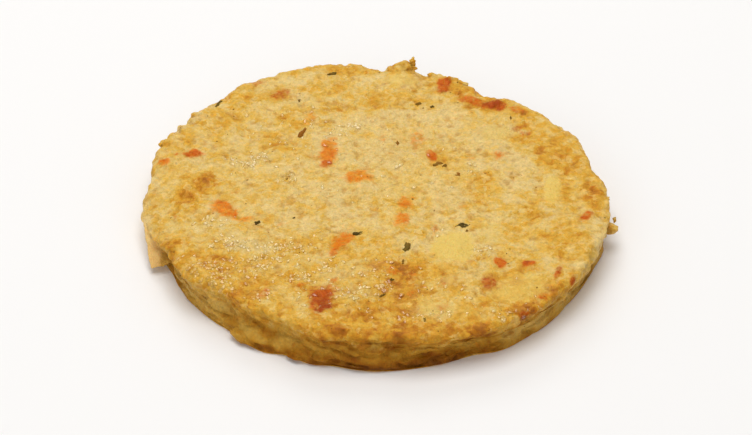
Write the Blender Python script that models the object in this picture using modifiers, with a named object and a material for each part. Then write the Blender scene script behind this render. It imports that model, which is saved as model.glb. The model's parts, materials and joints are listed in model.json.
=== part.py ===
"""Salt cod burger: one round fried patty of salt cod, potato, carrot and herbs, a single solid.

The patty rests on the XY plane, top face up, -Y towards the viewer. Lengths below are in millimetres and are
turned into metres as the meshes are made.
"""

import math

import bmesh
import bpy
import numpy as np
from mathutils import Matrix, Vector, noise

MM = 0.001
NAME = "salt_cod_burger"

# Main sizes: a patty about 100 mm across and under 10 mm thick
NOMINAL_RADIUS = 50.0
TOP_HEIGHT = 9.5
TOP_EDGE = 2.3
FOOT_EDGE = 1.0
CENTRE_X = 0.0
CENTRE_Y = -1.5

# The rim is not quite round: angle in degrees from +X, radius of the upper lip, radius of the foot
OUTLINE = (
    (0, 50.6, 49.8),
    (10, 50.6, 49.2),
    (20, 48.9, 48.0),
    (30, 50.2, 48.8),
    (40, 49.0, 47.8),
    (50, 48.2, 47.0),
    (60, 46.3, 45.6),
    (65, 48.3, 47.0),
    (70, 49.6, 48.0),
    (76, 49.0, 47.8),
    (80, 50.2, 48.4),
    (86, 50.4, 48.4),
    (89, 48.6, 47.8),
    (93, 50.0, 48.6),
    (96, 52.2, 50.0),
    (104, 52.8, 51.0),
    (112, 53.2, 51.6),
    (120, 53.4, 51.8),
    (130, 53.4, 52.0),
    (135, 52.6, 51.4),
    (141, 53.2, 51.8),
    (150, 52.6, 51.2),
    (153, 52.0, 51.0),
    (158, 54.2, 52.4),
    (163, 53.4, 52.0),
    (168, 51.8, 51.0),
    (171, 51.4, 50.6),
    (176, 52.4, 51.2),
    (184, 52.4, 51.0),
    (191, 50.4, 49.0),
    (198, 49.0, 48.1),
    (205, 49.2, 48.3),
    (212, 49.4, 48.2),
    (219, 48.2, 47.9),
    (226, 47.0, 47.6),
    (232, 46.4, 48.6),
    (239, 46.2, 49.0),
    (245, 46.8, 47.2),
    (252, 47.6, 48.4),
    (258, 48.2, 47.6),
    (264, 48.0, 48.2),
    (270, 47.4, 48.4),
    (276, 48.0, 48.2),
    (282, 48.8, 47.9),
    (288, 49.0, 47.7),
    (295, 49.4, 47.3),
    (302, 50.2, 49.0),
    (310, 50.5, 48.6),
    (318, 50.8, 48.8),
    (326, 50.9, 48.2),
    (334, 50.9, 48.4),
    (342, 50.6, 48.8),
    (351, 50.6, 49.6),
)
OUTLINE_SAMPLES = 720
OUTLINE_SMOOTHING = 5

# Turned body before its relief: steps round the axis, rings across each face and down the wall
TURN_STEPS = 300
FACE_RINGS = 44
WALL_RINGS = 16
EDGE_RINGS = 7
BODY_TRIANGLES = 7000

# The lip takes over from the foot between these heights, with a waist between them and a groove under the lip
LIP_FROM = 2.0
LIP_FULL = 7.0
WAIST_DEPTH = 0.7
WAIST_HEIGHT = 4.4
WAIST_SPREAD = 1.9
GROOVE_DEPTH = 0.7
GROOVE_HEIGHT = 6.5
GROOVE_SPREAD = 0.6

# The left side of the top face falls away towards the rim: start, end, fall, and how far it runs along Y
LEFT_FALL_START = -41.0
LEFT_FALL_END = -53.0
LEFT_FALL = 3.2
LEFT_FALL_Y = -5.0
LEFT_FALL_SPREAD = 12.5

# Relief of the top: (amplitude, wavelength) from broad swells to crumbs
TOP_SWELLS = ((0.75, 17.0), (0.50, 7.0), (0.30, 3.4))
FLAKE_HEIGHT = 0.50
FLAKE_SIZE = 5.2
FLAKE_CAP = 0.55

# Broken edge of the lip: angle, half width in degrees, how far its teeth reach, and the teeth's size
RAGGED_RIM = (
    (14.0, 16.0, 0.5),
    (36.0, 12.0, 0.5),
    (60.0, 13.0, 0.9),
    (79.0, 12.0, 1.0),
    (104.0, 16.0, 0.6),
    (124.0, 14.0, 0.6),
    (150.0, 16.0, 1.6),
    (200.0, 30.0, 0.4),
    (236.0, 16.0, 0.4),
    (268.0, 20.0, 0.3),
    (300.0, 24.0, 0.3),
    (338.0, 20.0, 0.5),
)
RAGGED_TOOTH = 1.7
RAGGED_FROM = 5.5
RAGGED_FULL = 7.5

# Relief of the wall: (amplitude, wavelength round the patty, wavelength up the wall)
WALL_SWELLS = ((1.0, 9.0, 5.5), (0.55, 4.4, 2.8), (0.25, 2.6, 1.5))
CREVICE_DEPTH = 0.8
CREVICE_LENGTH = 8.0
CREVICE_HEIGHT = 2.0
CREVICE_SHARPNESS = 6.0
CREVICE_TOP = 7.4
CREVICE_FADE = 1.6

# Lumps under the crust: x, y, half length, half width, turn in degrees, height (negative is a dent)
LUMPS = (
    (15.8, -18.5, 5.2, 4.6, 75.0, 0.75),
    (30.0, -32.0, 6.5, 5.0, 30.0, 0.35),
    (38.0, 2.0, 2.2, 5.5, 10.0, 0.35),
    (25.0, 23.0, 4.6, 3.4, 20.0, 0.40),
    (12.0, -40.0, 4.8, 3.6, 0.0, 0.40),
    (22.0, 18.0, 5.2, 4.6, 0.0, 0.30),
    (-42.5, -0.5, 2.6, 3.0, 0.0, -0.85),
    (-38.5, 3.5, 2.6, 4.2, -15.0, -0.45),
    (5.0, 42.0, 4.2, 3.2, 0.0, 0.40),
    (24.0, -19.0, 2.8, 4.8, -5.0, 0.35),
    (-27.0, 31.5, 3.2, 2.4, 40.0, 0.45),
    (-20.5, 6.0, 1.6, 2.6, 0.0, -0.50),
    (-12.0, 5.0, 6.5, 4.5, 30.0, 0.35),
    (-25.0, -12.0, 7.0, 3.6, 15.0, 0.30),
    (6.0, 13.0, 5.0, 3.4, -20.0, 0.30),
    (20.0, -26.0, 5.0, 1.2, 15.0, -0.55),
    (33.5, -7.0, 2.4, 1.8, 0.0, -0.45),
    (1.0, -30.5, 2.2, 3.4, 0.0, -0.45),
    (-30.0, -36.5, 4.0, 1.8, -30.0, 0.40),
    (0.0, 30.0, 8.0, 4.0, 5.0, 0.25),
    (36.0, 17.0, 4.6, 3.0, -50.0, 0.30),
    (-33.0, 26.0, 4.6, 3.0, 45.0, 0.30),
)

# Diced carrot and pepper set in the top: x, y, length, width, turn of the length from +X, how far it stands proud
DICE = (
    (-11.5, 14.5, 8.6, 3.6, 80.0, 0.40),
    (-5.0, 6.0, 5.2, 4.0, 10.0, 0.35),
    (-34.4, -5.2, 7.0, 4.2, -50.0, 0.40),
    (-29.5, -8.8, 5.0, 1.8, -20.0, 0.30),
    (-41.8, 14.6, 5.2, 2.8, -5.0, 0.45),
    (-48.0, 12.0, 2.4, 2.2, 0.0, 0.35),
    (4.9, -8.8, 5.8, 3.2, 85.0, 0.35),
    (5.5, -3.0, 5.6, 2.4, 80.0, 0.30),
    (-8.5, -16.8, 7.6, 4.0, 65.0, 0.35),
    (-12.6, -37.4, 8.2, 4.8, 75.0, 0.50),
    (45.4, -8.0, 4.6, 2.4, 45.0, 0.35),
    (32.0, -24.3, 3.6, 2.8, 10.0, 0.45),
    (26.0, -23.3, 3.0, 2.4, -60.0, 0.40),
    (23.5, -31.0, 5.0, 3.4, -70.0, 0.45),
    (14.5, 40.3, 4.8, 3.4, 80.0, 0.45),
    (20.6, 34.6, 4.4, 3.4, -30.0, 0.35),
    (25.8, 32.4, 4.2, 2.8, -20.0, 0.45),
    (11.5, 14.2, 4.2, 2.2, -75.0, 0.35),
    (8.5, 20.8, 6.2, 3.2, 85.0, 0.30),
    (26.5, 14.0, 3.6, 2.8, -40.0, 0.25),
    (-22.6, 37.2, 5.4, 3.8, 55.0, 0.40),
    (-27.8, 41.0, 4.2, 3.0, 30.0, 0.35),
    (-25.0, -34.0, 5.0, 2.8, 70.0, 0.30),
    (38.4, -27.0, 4.8, 1.8, 70.0, 0.30),
    (41.4, -29.6, 2.8, 2.0, 45.0, 0.40),
    (12.0, -11.8, 3.8, 1.8, 80.0, 0.30),
)

# Leaf and stalk scraps set in the top: x, y, length, width, turn, how far it stands proud
HERBS = (
    (-11.5, 44.0, 3.4, 1.6, 35.0, 0.35),
    (-36.4, 34.4, 4.4, 1.4, 60.0, 0.40),
    (-17.2, 22.4, 4.2, 1.6, 70.0, 0.35),
    (12.6, 11.0, 3.2, 2.0, 10.0, 0.35),
    (17.2, 7.3, 2.0, 1.6, 0.0, 0.30),
    (-4.5, -13.4, 2.6, 1.7, 15.0, 0.40),
    (18.2, -11.0, 2.6, 1.6, -10.0, 0.40),
    (5.8, -18.6, 4.6, 2.0, 85.0, 0.40),
    (8.8, 33.8, 2.0, 1.4, 60.0, 0.30),
    (-26.7, -10.2, 1.5, 1.3, 0.0, 0.40),
)

# Crags and crumbs fused to the rim: x, y, z, half lengths along x, y, z, turn about Z
CRAGS = (
    (5.4, 47.6, 9.0, 2.9, 1.9, 1.7, 8.0),
    (3.2, 46.8, 9.1, 1.7, 1.5, 1.2, 0.0),
    (7.4, 47.9, 9.9, 0.8, 0.8, 1.6, 0.0),
    (12.6, 44.4, 8.5, 2.2, 1.1, 1.2, -15.0),
    (16.0, 43.3, 8.6, 2.0, 1.1, 1.1, -18.0),
    (18.7, 41.8, 8.6, 1.4, 1.0, 1.0, -30.0),
    (-5.6, 48.0, 8.3, 2.8, 1.3, 1.2, 0.0),
    (-13.5, 48.2, 8.2, 2.8, 1.2, 1.1, 5.0),
    (-46.7, 22.6, 8.5, 1.6, 0.6, 0.5, 62.0),
    (-44.7, 25.3, 8.6, 0.5, 0.5, 1.0, 60.0),
    (-48.5, 20.0, 8.2, 1.4, 0.7, 0.6, 68.0),
    (-29.0, 41.7, 8.1, 2.2, 1.1, 1.1, 35.0),
    (27.4, 35.7, 8.1, 1.8, 0.8, 0.9, -35.0),
    (32.2, 32.7, 7.9, 1.6, 0.8, 0.9, -45.0),
    (50.7, -6.3, 4.9, 2.1, 1.4, 1.4, -10.0),
    (51.5, -4.4, 5.8, 0.6, 0.5, 0.9, 0.0),
    (50.0, 1.4, 7.0, 0.8, 0.6, 0.6, 0.0),
    (-29.3, -39.2, 1.5, 3.6, 1.9, 1.2, -42.0),
    (-17.6, -45.3, 1.2, 2.8, 1.4, 0.9, -20.0),
)

# Depth and unevenness of the pieces set in the crust. Dice lean towards a cube's shape
DICE_DEPTH = 1.1
DICE_ROUGHNESS = 0.5
DICE_BOXINESS = 0.6
HERB_DEPTH = 1.0
HERB_ROUGHNESS = 0.20
CRAG_ROUGHNESS = 0.42
UNEVEN_SIZE = 1.2
UNEVEN_GRAIN = 0.05
UNEVEN_GRAIN_SIZE = 4.0

# Flap of crust peeled from the left wall: rows down its length, each with its buried edge and its free edge
FLAP_ROWS = (
    ((-47.0, 7.5, 6.6), (-50.6, 8.2, 6.3)),
    ((-47.5, 3.0, 6.4), (-52.0, 3.2, 6.0)),
    ((-47.8, -1.5, 5.9), (-52.5, -1.4, 5.5)),
    ((-47.4, -6.0, 5.2), (-52.0, -6.2, 4.6)),
    ((-46.6, -9.5, 4.3), (-51.3, -10.0, 3.4)),
    ((-45.6, -12.8, 3.3), (-50.8, -13.6, 2.3)),
    ((-45.0, -15.2, 2.5), (-50.2, -16.8, 1.3)),
)
FLAP_THICKNESS = 1.3
FLAP_CUTS = 2

CRUST = (0.70, 0.45, 0.13, 1.0)
CRUST_ROUGHNESS = 0.45
SEED_OFFSET = Vector((31.7, 12.9, 4.3))
FLAT_SNAP = 0.03
GROUND_GAP = 0.15
WELD = 0.02


def clear_scene():
    """Empties the scene of every object."""
    for obj in list(bpy.data.objects):
        bpy.data.objects.remove(obj, do_unlink=True)


def make_material(name, colour, roughness):
    """A plain Principled material."""
    material = bpy.data.materials.new(name)
    material.use_nodes = True
    shader = material.node_tree.nodes["Principled BSDF"]
    shader.inputs["Base Color"].default_value = colour
    shader.inputs["Roughness"].default_value = roughness
    return material


def smooth_step(value):
    """Eases a number from 0 to 1."""
    value = min(1.0, max(0.0, value))
    return value * value * (3.0 - 2.0 * value)


def bump(distance):
    """A soft rounded bump: 1 in the middle, 0 from distance 1 on."""
    return (1.0 - distance * distance) ** 2 if distance < 1.0 else 0.0


def outline_radii():
    """The lip and foot radii at evenly spaced angles, eased between the read ones."""
    angles = np.array([row[0] for row in OUTLINE], float)
    at = np.arange(OUTLINE_SAMPLES) * 360.0 / OUTLINE_SAMPLES
    window = np.hanning(2 * OUTLINE_SMOOTHING + 3)[1:-1]
    window /= window.sum()
    eased = []
    for column in (1, 2):
        radii = np.interp(at, angles, np.array([row[column] for row in OUTLINE]), period=360.0)
        wrapped = np.concatenate([radii[-OUTLINE_SMOOTHING:], radii, radii[:OUTLINE_SMOOTHING]])
        eased.append(np.convolve(wrapped, window, mode="valid"))
    return eased


LIP_RADII, FOOT_RADII = outline_radii()


def radius_at(angle, height):
    """The wall's radius before its relief, at an angle in radians and a height."""
    place = (angle / math.tau) % 1.0 * OUTLINE_SAMPLES
    low = int(place) % OUTLINE_SAMPLES
    part = place - int(place)
    high = (low + 1) % OUTLINE_SAMPLES
    lip = LIP_RADII[low] * (1.0 - part) + LIP_RADII[high] * part
    foot = FOOT_RADII[low] * (1.0 - part) + FOOT_RADII[high] * part
    share = smooth_step((height - LIP_FROM) / (LIP_FULL - LIP_FROM))
    waist = WAIST_DEPTH * math.exp(-(((height - WAIST_HEIGHT) / WAIST_SPREAD) ** 2))
    return foot + (lip - foot) * share - waist


def left_fall(x, y):
    """How much lower the patty is towards its left rim, as a share of its height."""
    across = smooth_step((LEFT_FALL_START - x) / (LEFT_FALL_START - LEFT_FALL_END))
    along = math.exp(-(((y - LEFT_FALL_Y) / LEFT_FALL_SPREAD) ** 2))
    return LEFT_FALL * across * along / TOP_HEIGHT


def lump_height(x, y):
    """Height of the named lumps and dents of the top face."""
    total = 0.0
    for cx, cy, half_x, half_y, turn, height in LUMPS:
        dx, dy = x - cx, y - cy
        if abs(dx) > half_x + half_y or abs(dy) > half_x + half_y:
            continue
        cos, sin = math.cos(math.radians(turn)), math.sin(math.radians(turn))
        along, across = (dx * cos + dy * sin) / half_x, (dy * cos - dx * sin) / half_y
        total += height * bump(math.hypot(along, across))
    return total


def top_relief(x, y):
    """Relief of the top face: swells, overlapping flakes and lumps."""
    at = Vector((x, y, 0.0))
    total = lump_height(x, y)
    for amplitude, length in TOP_SWELLS:
        total += amplitude * noise.noise(at / length + SEED_OFFSET)
    nearest = noise.voronoi(at / FLAKE_SIZE + SEED_OFFSET)[0]
    total += FLAKE_HEIGHT * (min(nearest[1] - nearest[0], FLAKE_CAP) - 0.5 * FLAKE_CAP)
    return total


def ragged_lip(angle, height):
    """How far the broken teeth of the lip stand out at an angle."""
    degrees = math.degrees(angle) % 360.0
    reach = 0.0
    for middle, half_width, depth in RAGGED_RIM:
        away = abs((degrees - middle + 180.0) % 360.0 - 180.0)
        reach += depth * bump(away / half_width)
    share = smooth_step((height - RAGGED_FROM) / (RAGGED_FULL - RAGGED_FROM))
    spot = Vector((math.cos(angle), math.sin(angle), height / NOMINAL_RADIUS)) * (NOMINAL_RADIUS / RAGGED_TOOTH)
    return reach * share * 1.6 * noise.noise(spot)


def wall_relief(x, y, z, angle):
    """Relief of the wall: swells, lengthwise crevices and the broken groove under the lip."""
    total = 0.0
    for amplitude, around, up in WALL_SWELLS:
        total += amplitude * noise.noise(Vector((x / around, y / around, z / up)) - SEED_OFFSET)
    at = Vector((x / CREVICE_LENGTH, y / CREVICE_LENGTH, z / CREVICE_HEIGHT)) + SEED_OFFSET
    crevice = max(0.0, 1.0 - CREVICE_SHARPNESS * abs(noise.noise(at)))
    total -= CREVICE_DEPTH * crevice * smooth_step((CREVICE_TOP - z) / CREVICE_FADE)
    reach = 0.5 + 0.9 * noise.noise(Vector((math.cos(angle) * 5.0, math.sin(angle) * 5.0, 3.0)))
    groove = math.exp(-(((z - GROOVE_HEIGHT) / GROOVE_SPREAD) ** 2))
    return total - GROOVE_DEPTH * max(0.0, reach) * groove


def shaped(x, y, z):
    """Moves one point of the turned body to its place on the finished patty."""
    rho = math.hypot(x, y)
    angle = math.atan2(y, x)
    scale = radius_at(angle, z) / NOMINAL_RADIUS
    x, y = x * scale + CENTRE_X, y * scale + CENTRE_Y
    if z <= 0.0 and rho < NOMINAL_RADIUS - FOOT_EDGE - 0.01:
        return x, y, 0.0
    on_wall = smooth_step((rho - NOMINAL_RADIUS + TOP_EDGE + 1.5) / (TOP_EDGE + 1.0))
    on_wall *= smooth_step(z / FOOT_EDGE)
    if on_wall > 0.0:
        push = on_wall * (wall_relief(x, y, z, angle) + ragged_lip(angle, z))
        x += push * math.cos(angle)
        y += push * math.sin(angle)
    on_top = smooth_step((z - TOP_HEIGHT + TOP_EDGE + 1.0) / (TOP_EDGE + 1.0))
    if on_top > 0.0:
        z += on_top * top_relief(x, y)
    return x, y, z * (1.0 - left_fall(x, y))


def top_height(x, y):
    """Height of the finished top face over a place well inside the rim."""
    return (TOP_HEIGHT + top_relief(x, y)) * (1.0 - left_fall(x, y))


def turned_profile():
    """Half the patty's section, from the top's middle out over the edge and in along the base."""
    points = []
    inner = NOMINAL_RADIUS - TOP_EDGE
    for step in range(FACE_RINGS + 1):
        points.append((inner * step / FACE_RINGS, TOP_HEIGHT))
    for step in range(1, EDGE_RINGS + 1):
        turn = 0.5 * math.pi * step / EDGE_RINGS
        points.append((inner + TOP_EDGE * math.sin(turn), TOP_HEIGHT - TOP_EDGE * (1.0 - math.cos(turn))))
    wall_top = TOP_HEIGHT - TOP_EDGE
    for step in range(1, WALL_RINGS + 1):
        points.append((NOMINAL_RADIUS, wall_top + (FOOT_EDGE - wall_top) * step / WALL_RINGS))
    for step in range(1, EDGE_RINGS + 1):
        turn = 0.5 * math.pi * step / EDGE_RINGS
        points.append((NOMINAL_RADIUS - FOOT_EDGE * (1.0 - math.cos(turn)), FOOT_EDGE * (1.0 - math.sin(turn))))
    points.append((0.0, 0.0))
    return points


def evaluated(obj, name):
    """Makes a plain mesh object of an object with its modifiers applied, and removes the first."""
    graph = bpy.context.evaluated_depsgraph_get()
    mesh = bpy.data.meshes.new_from_object(obj.evaluated_get(graph), depsgraph=graph)
    plain = bpy.data.objects.new(name, mesh)
    for collection in obj.users_collection:
        collection.objects.link(plain)
    bpy.data.objects.remove(obj, do_unlink=True)
    return plain


def make_body(collection):
    """The patty's body: a turned section, given its outline and relief, then thinned to few triangles."""
    profile = turned_profile()
    mesh = bpy.data.meshes.new("section")
    points = [(radius * MM, 0.0, height * MM) for radius, height in profile]
    mesh.from_pydata(points, [(i, i + 1) for i in range(len(points) - 1)], [])
    section = bpy.data.objects.new("section", mesh)
    collection.objects.link(section)
    screw = section.modifiers.new("turn", "SCREW")
    screw.axis = "Z"
    screw.steps = TURN_STEPS
    screw.render_steps = TURN_STEPS
    screw.use_merge_vertices = True
    screw.merge_threshold = 1e-5
    body = evaluated(section, "body")
    for vertex in body.data.vertices:
        x, y, z = vertex.co / MM
        vertex.co = Vector(shaped(x, y, z)) * MM
    triangles = sum(len(polygon.vertices) - 2 for polygon in body.data.polygons)
    decimate = body.modifiers.new("thin", "DECIMATE")
    decimate.ratio = BODY_TRIANGLES / triangles
    body = evaluated(body, "body")
    for vertex in body.data.vertices:
        if vertex.co.z < FLAT_SNAP * MM:
            vertex.co.z = 0.0
    return body


def rough_ball(name, collection, subdivisions, roughness, seed, boxiness=0.0):
    """An uneven ball of radius 1, pushed in and out by noise and towards a cube's shape by its boxiness."""
    mesh = bpy.data.meshes.new(name)
    shape = bmesh.new()
    bmesh.ops.create_icosphere(shape, subdivisions=subdivisions, radius=1.0)
    for vertex in shape.verts:
        push = noise.noise(vertex.co * UNEVEN_SIZE + Vector((seed * 7.3, seed * 3.1, 0.0)))
        fine = noise.noise(vertex.co * UNEVEN_GRAIN_SIZE + Vector((0.0, seed * 1.9, seed * 4.7)))
        flat = 1.0 / max(abs(value) for value in vertex.co)
        vertex.co *= (1.0 + roughness * push + UNEVEN_GRAIN * fine) * flat**boxiness
    shape.to_mesh(mesh)
    shape.free()
    ball = bpy.data.objects.new(name, mesh)
    collection.objects.link(ball)
    return ball


def place(obj, position, size, turn):
    """Scales, turns and moves a mesh's own points, and keeps them off the ground."""
    spin = Matrix.Rotation(math.radians(turn), 4, "Z")
    stretch = Matrix.Diagonal((size[0] * MM, size[1] * MM, size[2] * MM, 1.0))
    obj.data.transform(Matrix.Translation(Vector(position) * MM) @ spin @ stretch)
    for vertex in obj.data.vertices:
        vertex.co.z = max(vertex.co.z, GROUND_GAP * MM)


def make_fused(collection):
    """The dice, herb scraps, crags and flap that grow out of the body."""
    seed = 0
    for x, y, length, width, turn, proud in DICE:
        seed += 1
        piece = rough_ball("dice", collection, 2, DICE_ROUGHNESS, seed, DICE_BOXINESS)
        height = top_height(x, y) + proud - DICE_DEPTH
        place(piece, (x, y, height), (length / 2, width / 2, DICE_DEPTH), turn)
    for x, y, length, width, turn, proud in HERBS:
        seed += 1
        piece = rough_ball("herb", collection, 1, HERB_ROUGHNESS, seed)
        height = top_height(x, y) + proud - HERB_DEPTH
        place(piece, (x, y, height), (length / 2, width / 2, HERB_DEPTH), turn)
    for x, y, z, half_x, half_y, half_z, turn in CRAGS:
        seed += 1
        piece = rough_ball("crag", collection, 2, CRAG_ROUGHNESS, seed)
        place(piece, (x, y, z), (half_x, half_y, half_z), turn)
    make_flap(collection)


def make_flap(collection):
    """A strip of crust whose one edge is buried in the wall and whose other hangs free."""
    mesh = bpy.data.meshes.new("flap")
    shape = bmesh.new()
    rows = []
    for inner, outer in FLAP_ROWS:
        inner, outer = Vector(inner), Vector(outer)
        row = [shape.verts.new(inner.lerp(outer, step / (FLAP_CUTS + 1)) * MM) for step in range(FLAP_CUTS + 2)]
        rows.append(row)
    for upper, lower in zip(rows, rows[1:]):
        for left, right in zip(range(FLAP_CUTS + 1), range(1, FLAP_CUTS + 2)):
            shape.faces.new((upper[left], upper[right], lower[right], lower[left]))
    bmesh.ops.recalc_face_normals(shape, faces=shape.faces)
    shape.to_mesh(mesh)
    shape.free()
    flap = bpy.data.objects.new("flap", mesh)
    collection.objects.link(flap)
    thick = flap.modifiers.new("thickness", "SOLIDIFY")
    thick.thickness = FLAP_THICKNESS * MM
    thick.offset = 0.0
    rounded = flap.modifiers.new("rounding", "SUBSURF")
    rounded.levels = 1
    rounded.render_levels = 1
    return evaluated(flap, "flap")


def largest_piece(obj):
    """Drops loose scraps and welds points that all but touch, so one closed solid is left."""
    shape = bmesh.new()
    shape.from_mesh(obj.data)
    bmesh.ops.remove_doubles(shape, verts=shape.verts, dist=WELD * MM)
    bmesh.ops.dissolve_degenerate(shape, edges=shape.edges, dist=WELD * MM)
    bmesh.ops.triangulate(shape, faces=shape.faces)
    seen, best = set(), []
    for start in shape.verts:
        if start in seen:
            continue
        island, waiting = [], [start]
        seen.add(start)
        while waiting:
            vertex = waiting.pop()
            island.append(vertex)
            for edge in vertex.link_edges:
                other = edge.other_vert(vertex)
                if other not in seen:
                    seen.add(other)
                    waiting.append(other)
        if len(island) > len(best):
            best = island
    keep = set(best)
    bmesh.ops.delete(shape, geom=[vertex for vertex in shape.verts if vertex not in keep], context="VERTS")
    bmesh.ops.recalc_face_normals(shape, faces=shape.faces)
    shape.to_mesh(obj.data)
    shape.free()


def centre_on_base(obj):
    """Puts the middle of the bounding box over the origin, base on the XY plane."""
    points = np.array([vertex.co for vertex in obj.data.vertices])
    low, high = points.min(axis=0), points.max(axis=0)
    middle = (low + high) / 2.0
    obj.data.transform(Matrix.Translation((-middle[0], -middle[1], -low[2])))


def main():
    clear_scene()
    whole = bpy.data.collections.new(NAME)
    fused = bpy.data.collections.new("fused_pieces")
    bpy.context.scene.collection.children.link(whole)
    bpy.context.scene.collection.children.link(fused)
    body = make_body(whole)
    make_fused(fused)
    union = body.modifiers.new("fuse", "BOOLEAN")
    union.operation = "UNION"
    union.operand_type = "COLLECTION"
    union.collection = fused
    union.solver = "MANIFOLD"
    patty = evaluated(body, NAME)
    patty.data.name = NAME
    for obj in list(fused.objects):
        bpy.data.objects.remove(obj, do_unlink=True)
    largest_piece(patty)
    centre_on_base(patty)
    patty.data.materials.clear()
    patty.data.materials.append(make_material("fried_crust", CRUST, CRUST_ROUGHNESS))


main()
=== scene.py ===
# %% [markdown]
# # Salt cod burger, finished for the picture
#
# This lesson dresses a plain solid of a fried fish patty. The solid gives the form: a disc about 100 mm
# across and 9.5 mm thick, with a ragged lip and a rugged wall. Here the same form is turned again with far
# more detail, and then it gets its colours: pale fish and potato, golden crust, browned spots, carrot,
# pepper and herbs. Lengths are in millimetres and become metres where Blender needs them.

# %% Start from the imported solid
import itertools
import json
import math

import bmesh
import bpy
import numpy as np
from mathutils import Matrix, Vector, noise

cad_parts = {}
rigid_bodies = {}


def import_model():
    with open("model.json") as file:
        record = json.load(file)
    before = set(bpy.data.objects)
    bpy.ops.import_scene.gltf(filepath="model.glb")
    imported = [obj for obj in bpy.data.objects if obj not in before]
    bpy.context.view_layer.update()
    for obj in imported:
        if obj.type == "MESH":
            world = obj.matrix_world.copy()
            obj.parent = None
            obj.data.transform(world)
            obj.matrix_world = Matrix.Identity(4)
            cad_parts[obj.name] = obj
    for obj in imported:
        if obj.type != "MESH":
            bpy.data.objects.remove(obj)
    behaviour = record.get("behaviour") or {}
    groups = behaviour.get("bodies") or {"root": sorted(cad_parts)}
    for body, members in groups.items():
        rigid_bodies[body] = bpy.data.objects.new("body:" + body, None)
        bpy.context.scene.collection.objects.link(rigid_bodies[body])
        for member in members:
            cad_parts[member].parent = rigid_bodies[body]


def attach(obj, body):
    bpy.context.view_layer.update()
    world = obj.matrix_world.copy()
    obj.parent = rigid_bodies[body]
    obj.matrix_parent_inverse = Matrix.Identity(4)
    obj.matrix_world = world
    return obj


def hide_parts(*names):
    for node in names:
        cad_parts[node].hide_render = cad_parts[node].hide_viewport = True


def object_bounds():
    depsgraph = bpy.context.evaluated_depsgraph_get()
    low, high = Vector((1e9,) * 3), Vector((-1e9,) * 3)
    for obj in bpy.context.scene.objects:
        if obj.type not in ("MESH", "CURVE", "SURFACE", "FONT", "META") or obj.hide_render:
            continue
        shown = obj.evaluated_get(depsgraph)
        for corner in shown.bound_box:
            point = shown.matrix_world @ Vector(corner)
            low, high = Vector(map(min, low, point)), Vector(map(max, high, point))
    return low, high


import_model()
cad_box = [list(corner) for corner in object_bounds()]
MM = 0.001
PATTY_NODE = "salt_cod_burger"
BODY = "root"
print("solid box in mm:", [[round(value / MM, 2) for value in corner] for corner in cad_box])

# %% [markdown]
# ## The patty's outline
#
# A hand-shaped patty is not quite round, and its upper lip and its foot do not follow the same line. One
# way to keep such an outline is a drawn curve, but two curves would have to be kept in step. A short table
# of angles and radii does both at once: it is easy to read off the real thing and easy to blend between
# heights.

# %% Outline of lip and foot
NOMINAL_RADIUS = 50.0
TOP_HEIGHT = 9.5
TOP_EDGE = 2.3
FOOT_EDGE = 1.0
CENTRE_X = 0.0
CENTRE_Y = -1.5
OUTLINE = (
    (0, 50.6, 49.8), (10, 50.6, 49.2), (20, 48.9, 48), (30, 50.2, 48.8), (40, 49, 47.8), (50, 48.2, 47),
    (60, 46.3, 45.6), (65, 48.3, 47), (70, 49.6, 48), (76, 49, 47.8), (80, 50.2, 48.4), (86, 50.4, 48.4),
    (89, 48.6, 47.8), (93, 50, 48.6), (96, 52.2, 50), (104, 52.8, 51), (112, 53.2, 51.6),
    (120, 53.4, 51.8), (130, 53.4, 52), (135, 52.6, 51.4), (141, 53.2, 51.8), (150, 52.6, 51.2),
    (153, 52, 51), (158, 54.2, 52.4), (163, 53.4, 52), (168, 51.8, 51), (171, 51.4, 50.6),
    (176, 52.4, 51.2), (184, 52.4, 51), (191, 50.4, 49), (198, 49, 48.1), (205, 49.2, 48.3),
    (212, 49.4, 48.2), (219, 48.2, 47.9), (226, 47, 47.6), (232, 46.4, 48.6), (239, 46.2, 49),
    (245, 46.8, 47.2), (252, 47.6, 48.4), (258, 48.2, 47.6), (264, 48, 48.2), (270, 47.4, 48.4),
    (276, 48, 48.2), (282, 48.8, 47.9), (288, 49, 47.7), (295, 49.4, 47.3), (302, 50.2, 49),
    (310, 50.5, 48.6), (318, 50.8, 48.8), (326, 50.9, 48.2), (334, 50.9, 48.4), (342, 50.6, 48.8),
    (351, 50.6, 49.6),
)
OUTLINE_SAMPLES = 720
OUTLINE_SMOOTHING = 5


def outline_radii():
    """The lip and foot radii at evenly spaced angles, smoothed between the read ones."""
    angles = np.array([row[0] for row in OUTLINE], float)
    at = np.arange(OUTLINE_SAMPLES) * 360.0 / OUTLINE_SAMPLES
    window = np.hanning(2 * OUTLINE_SMOOTHING + 3)[1:-1]
    window /= window.sum()
    smoothed = []
    for column in (1, 2):
        radii = np.interp(at, angles, np.array([row[column] for row in OUTLINE]), period=360.0)
        wrapped = np.concatenate([radii[-OUTLINE_SMOOTHING:], radii, radii[:OUTLINE_SMOOTHING]])
        smoothed.append(np.convolve(wrapped, window, mode="valid"))
    return smoothed


LIP_RADII, FOOT_RADII = outline_radii()
print("lip radius in mm, least and most:", round(LIP_RADII.min(), 1), round(LIP_RADII.max(), 1))

# %% [markdown]
# ## Relief that belongs to the form
#
# The top of the patty has low flakes where the fish mince overlaps, lumps of potato just under the crust
# and a few dents. The wall is rough, with crevices that run round it. Displace modifiers could add each of
# these, but they know nothing of where the lip or the left slope is. Plain functions of the place, used for
# every point, can.

# %% The wall's plain radius
LIP_FROM = 2.0
LIP_FULL = 7.0
WAIST_DEPTH = 0.7
WAIST_HEIGHT = 4.4
WAIST_SPREAD = 1.9


def smooth_step(value):
    """Eases a number from 0 to 1."""
    value = min(1.0, max(0.0, value))
    return value * value * (3.0 - 2.0 * value)


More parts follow.
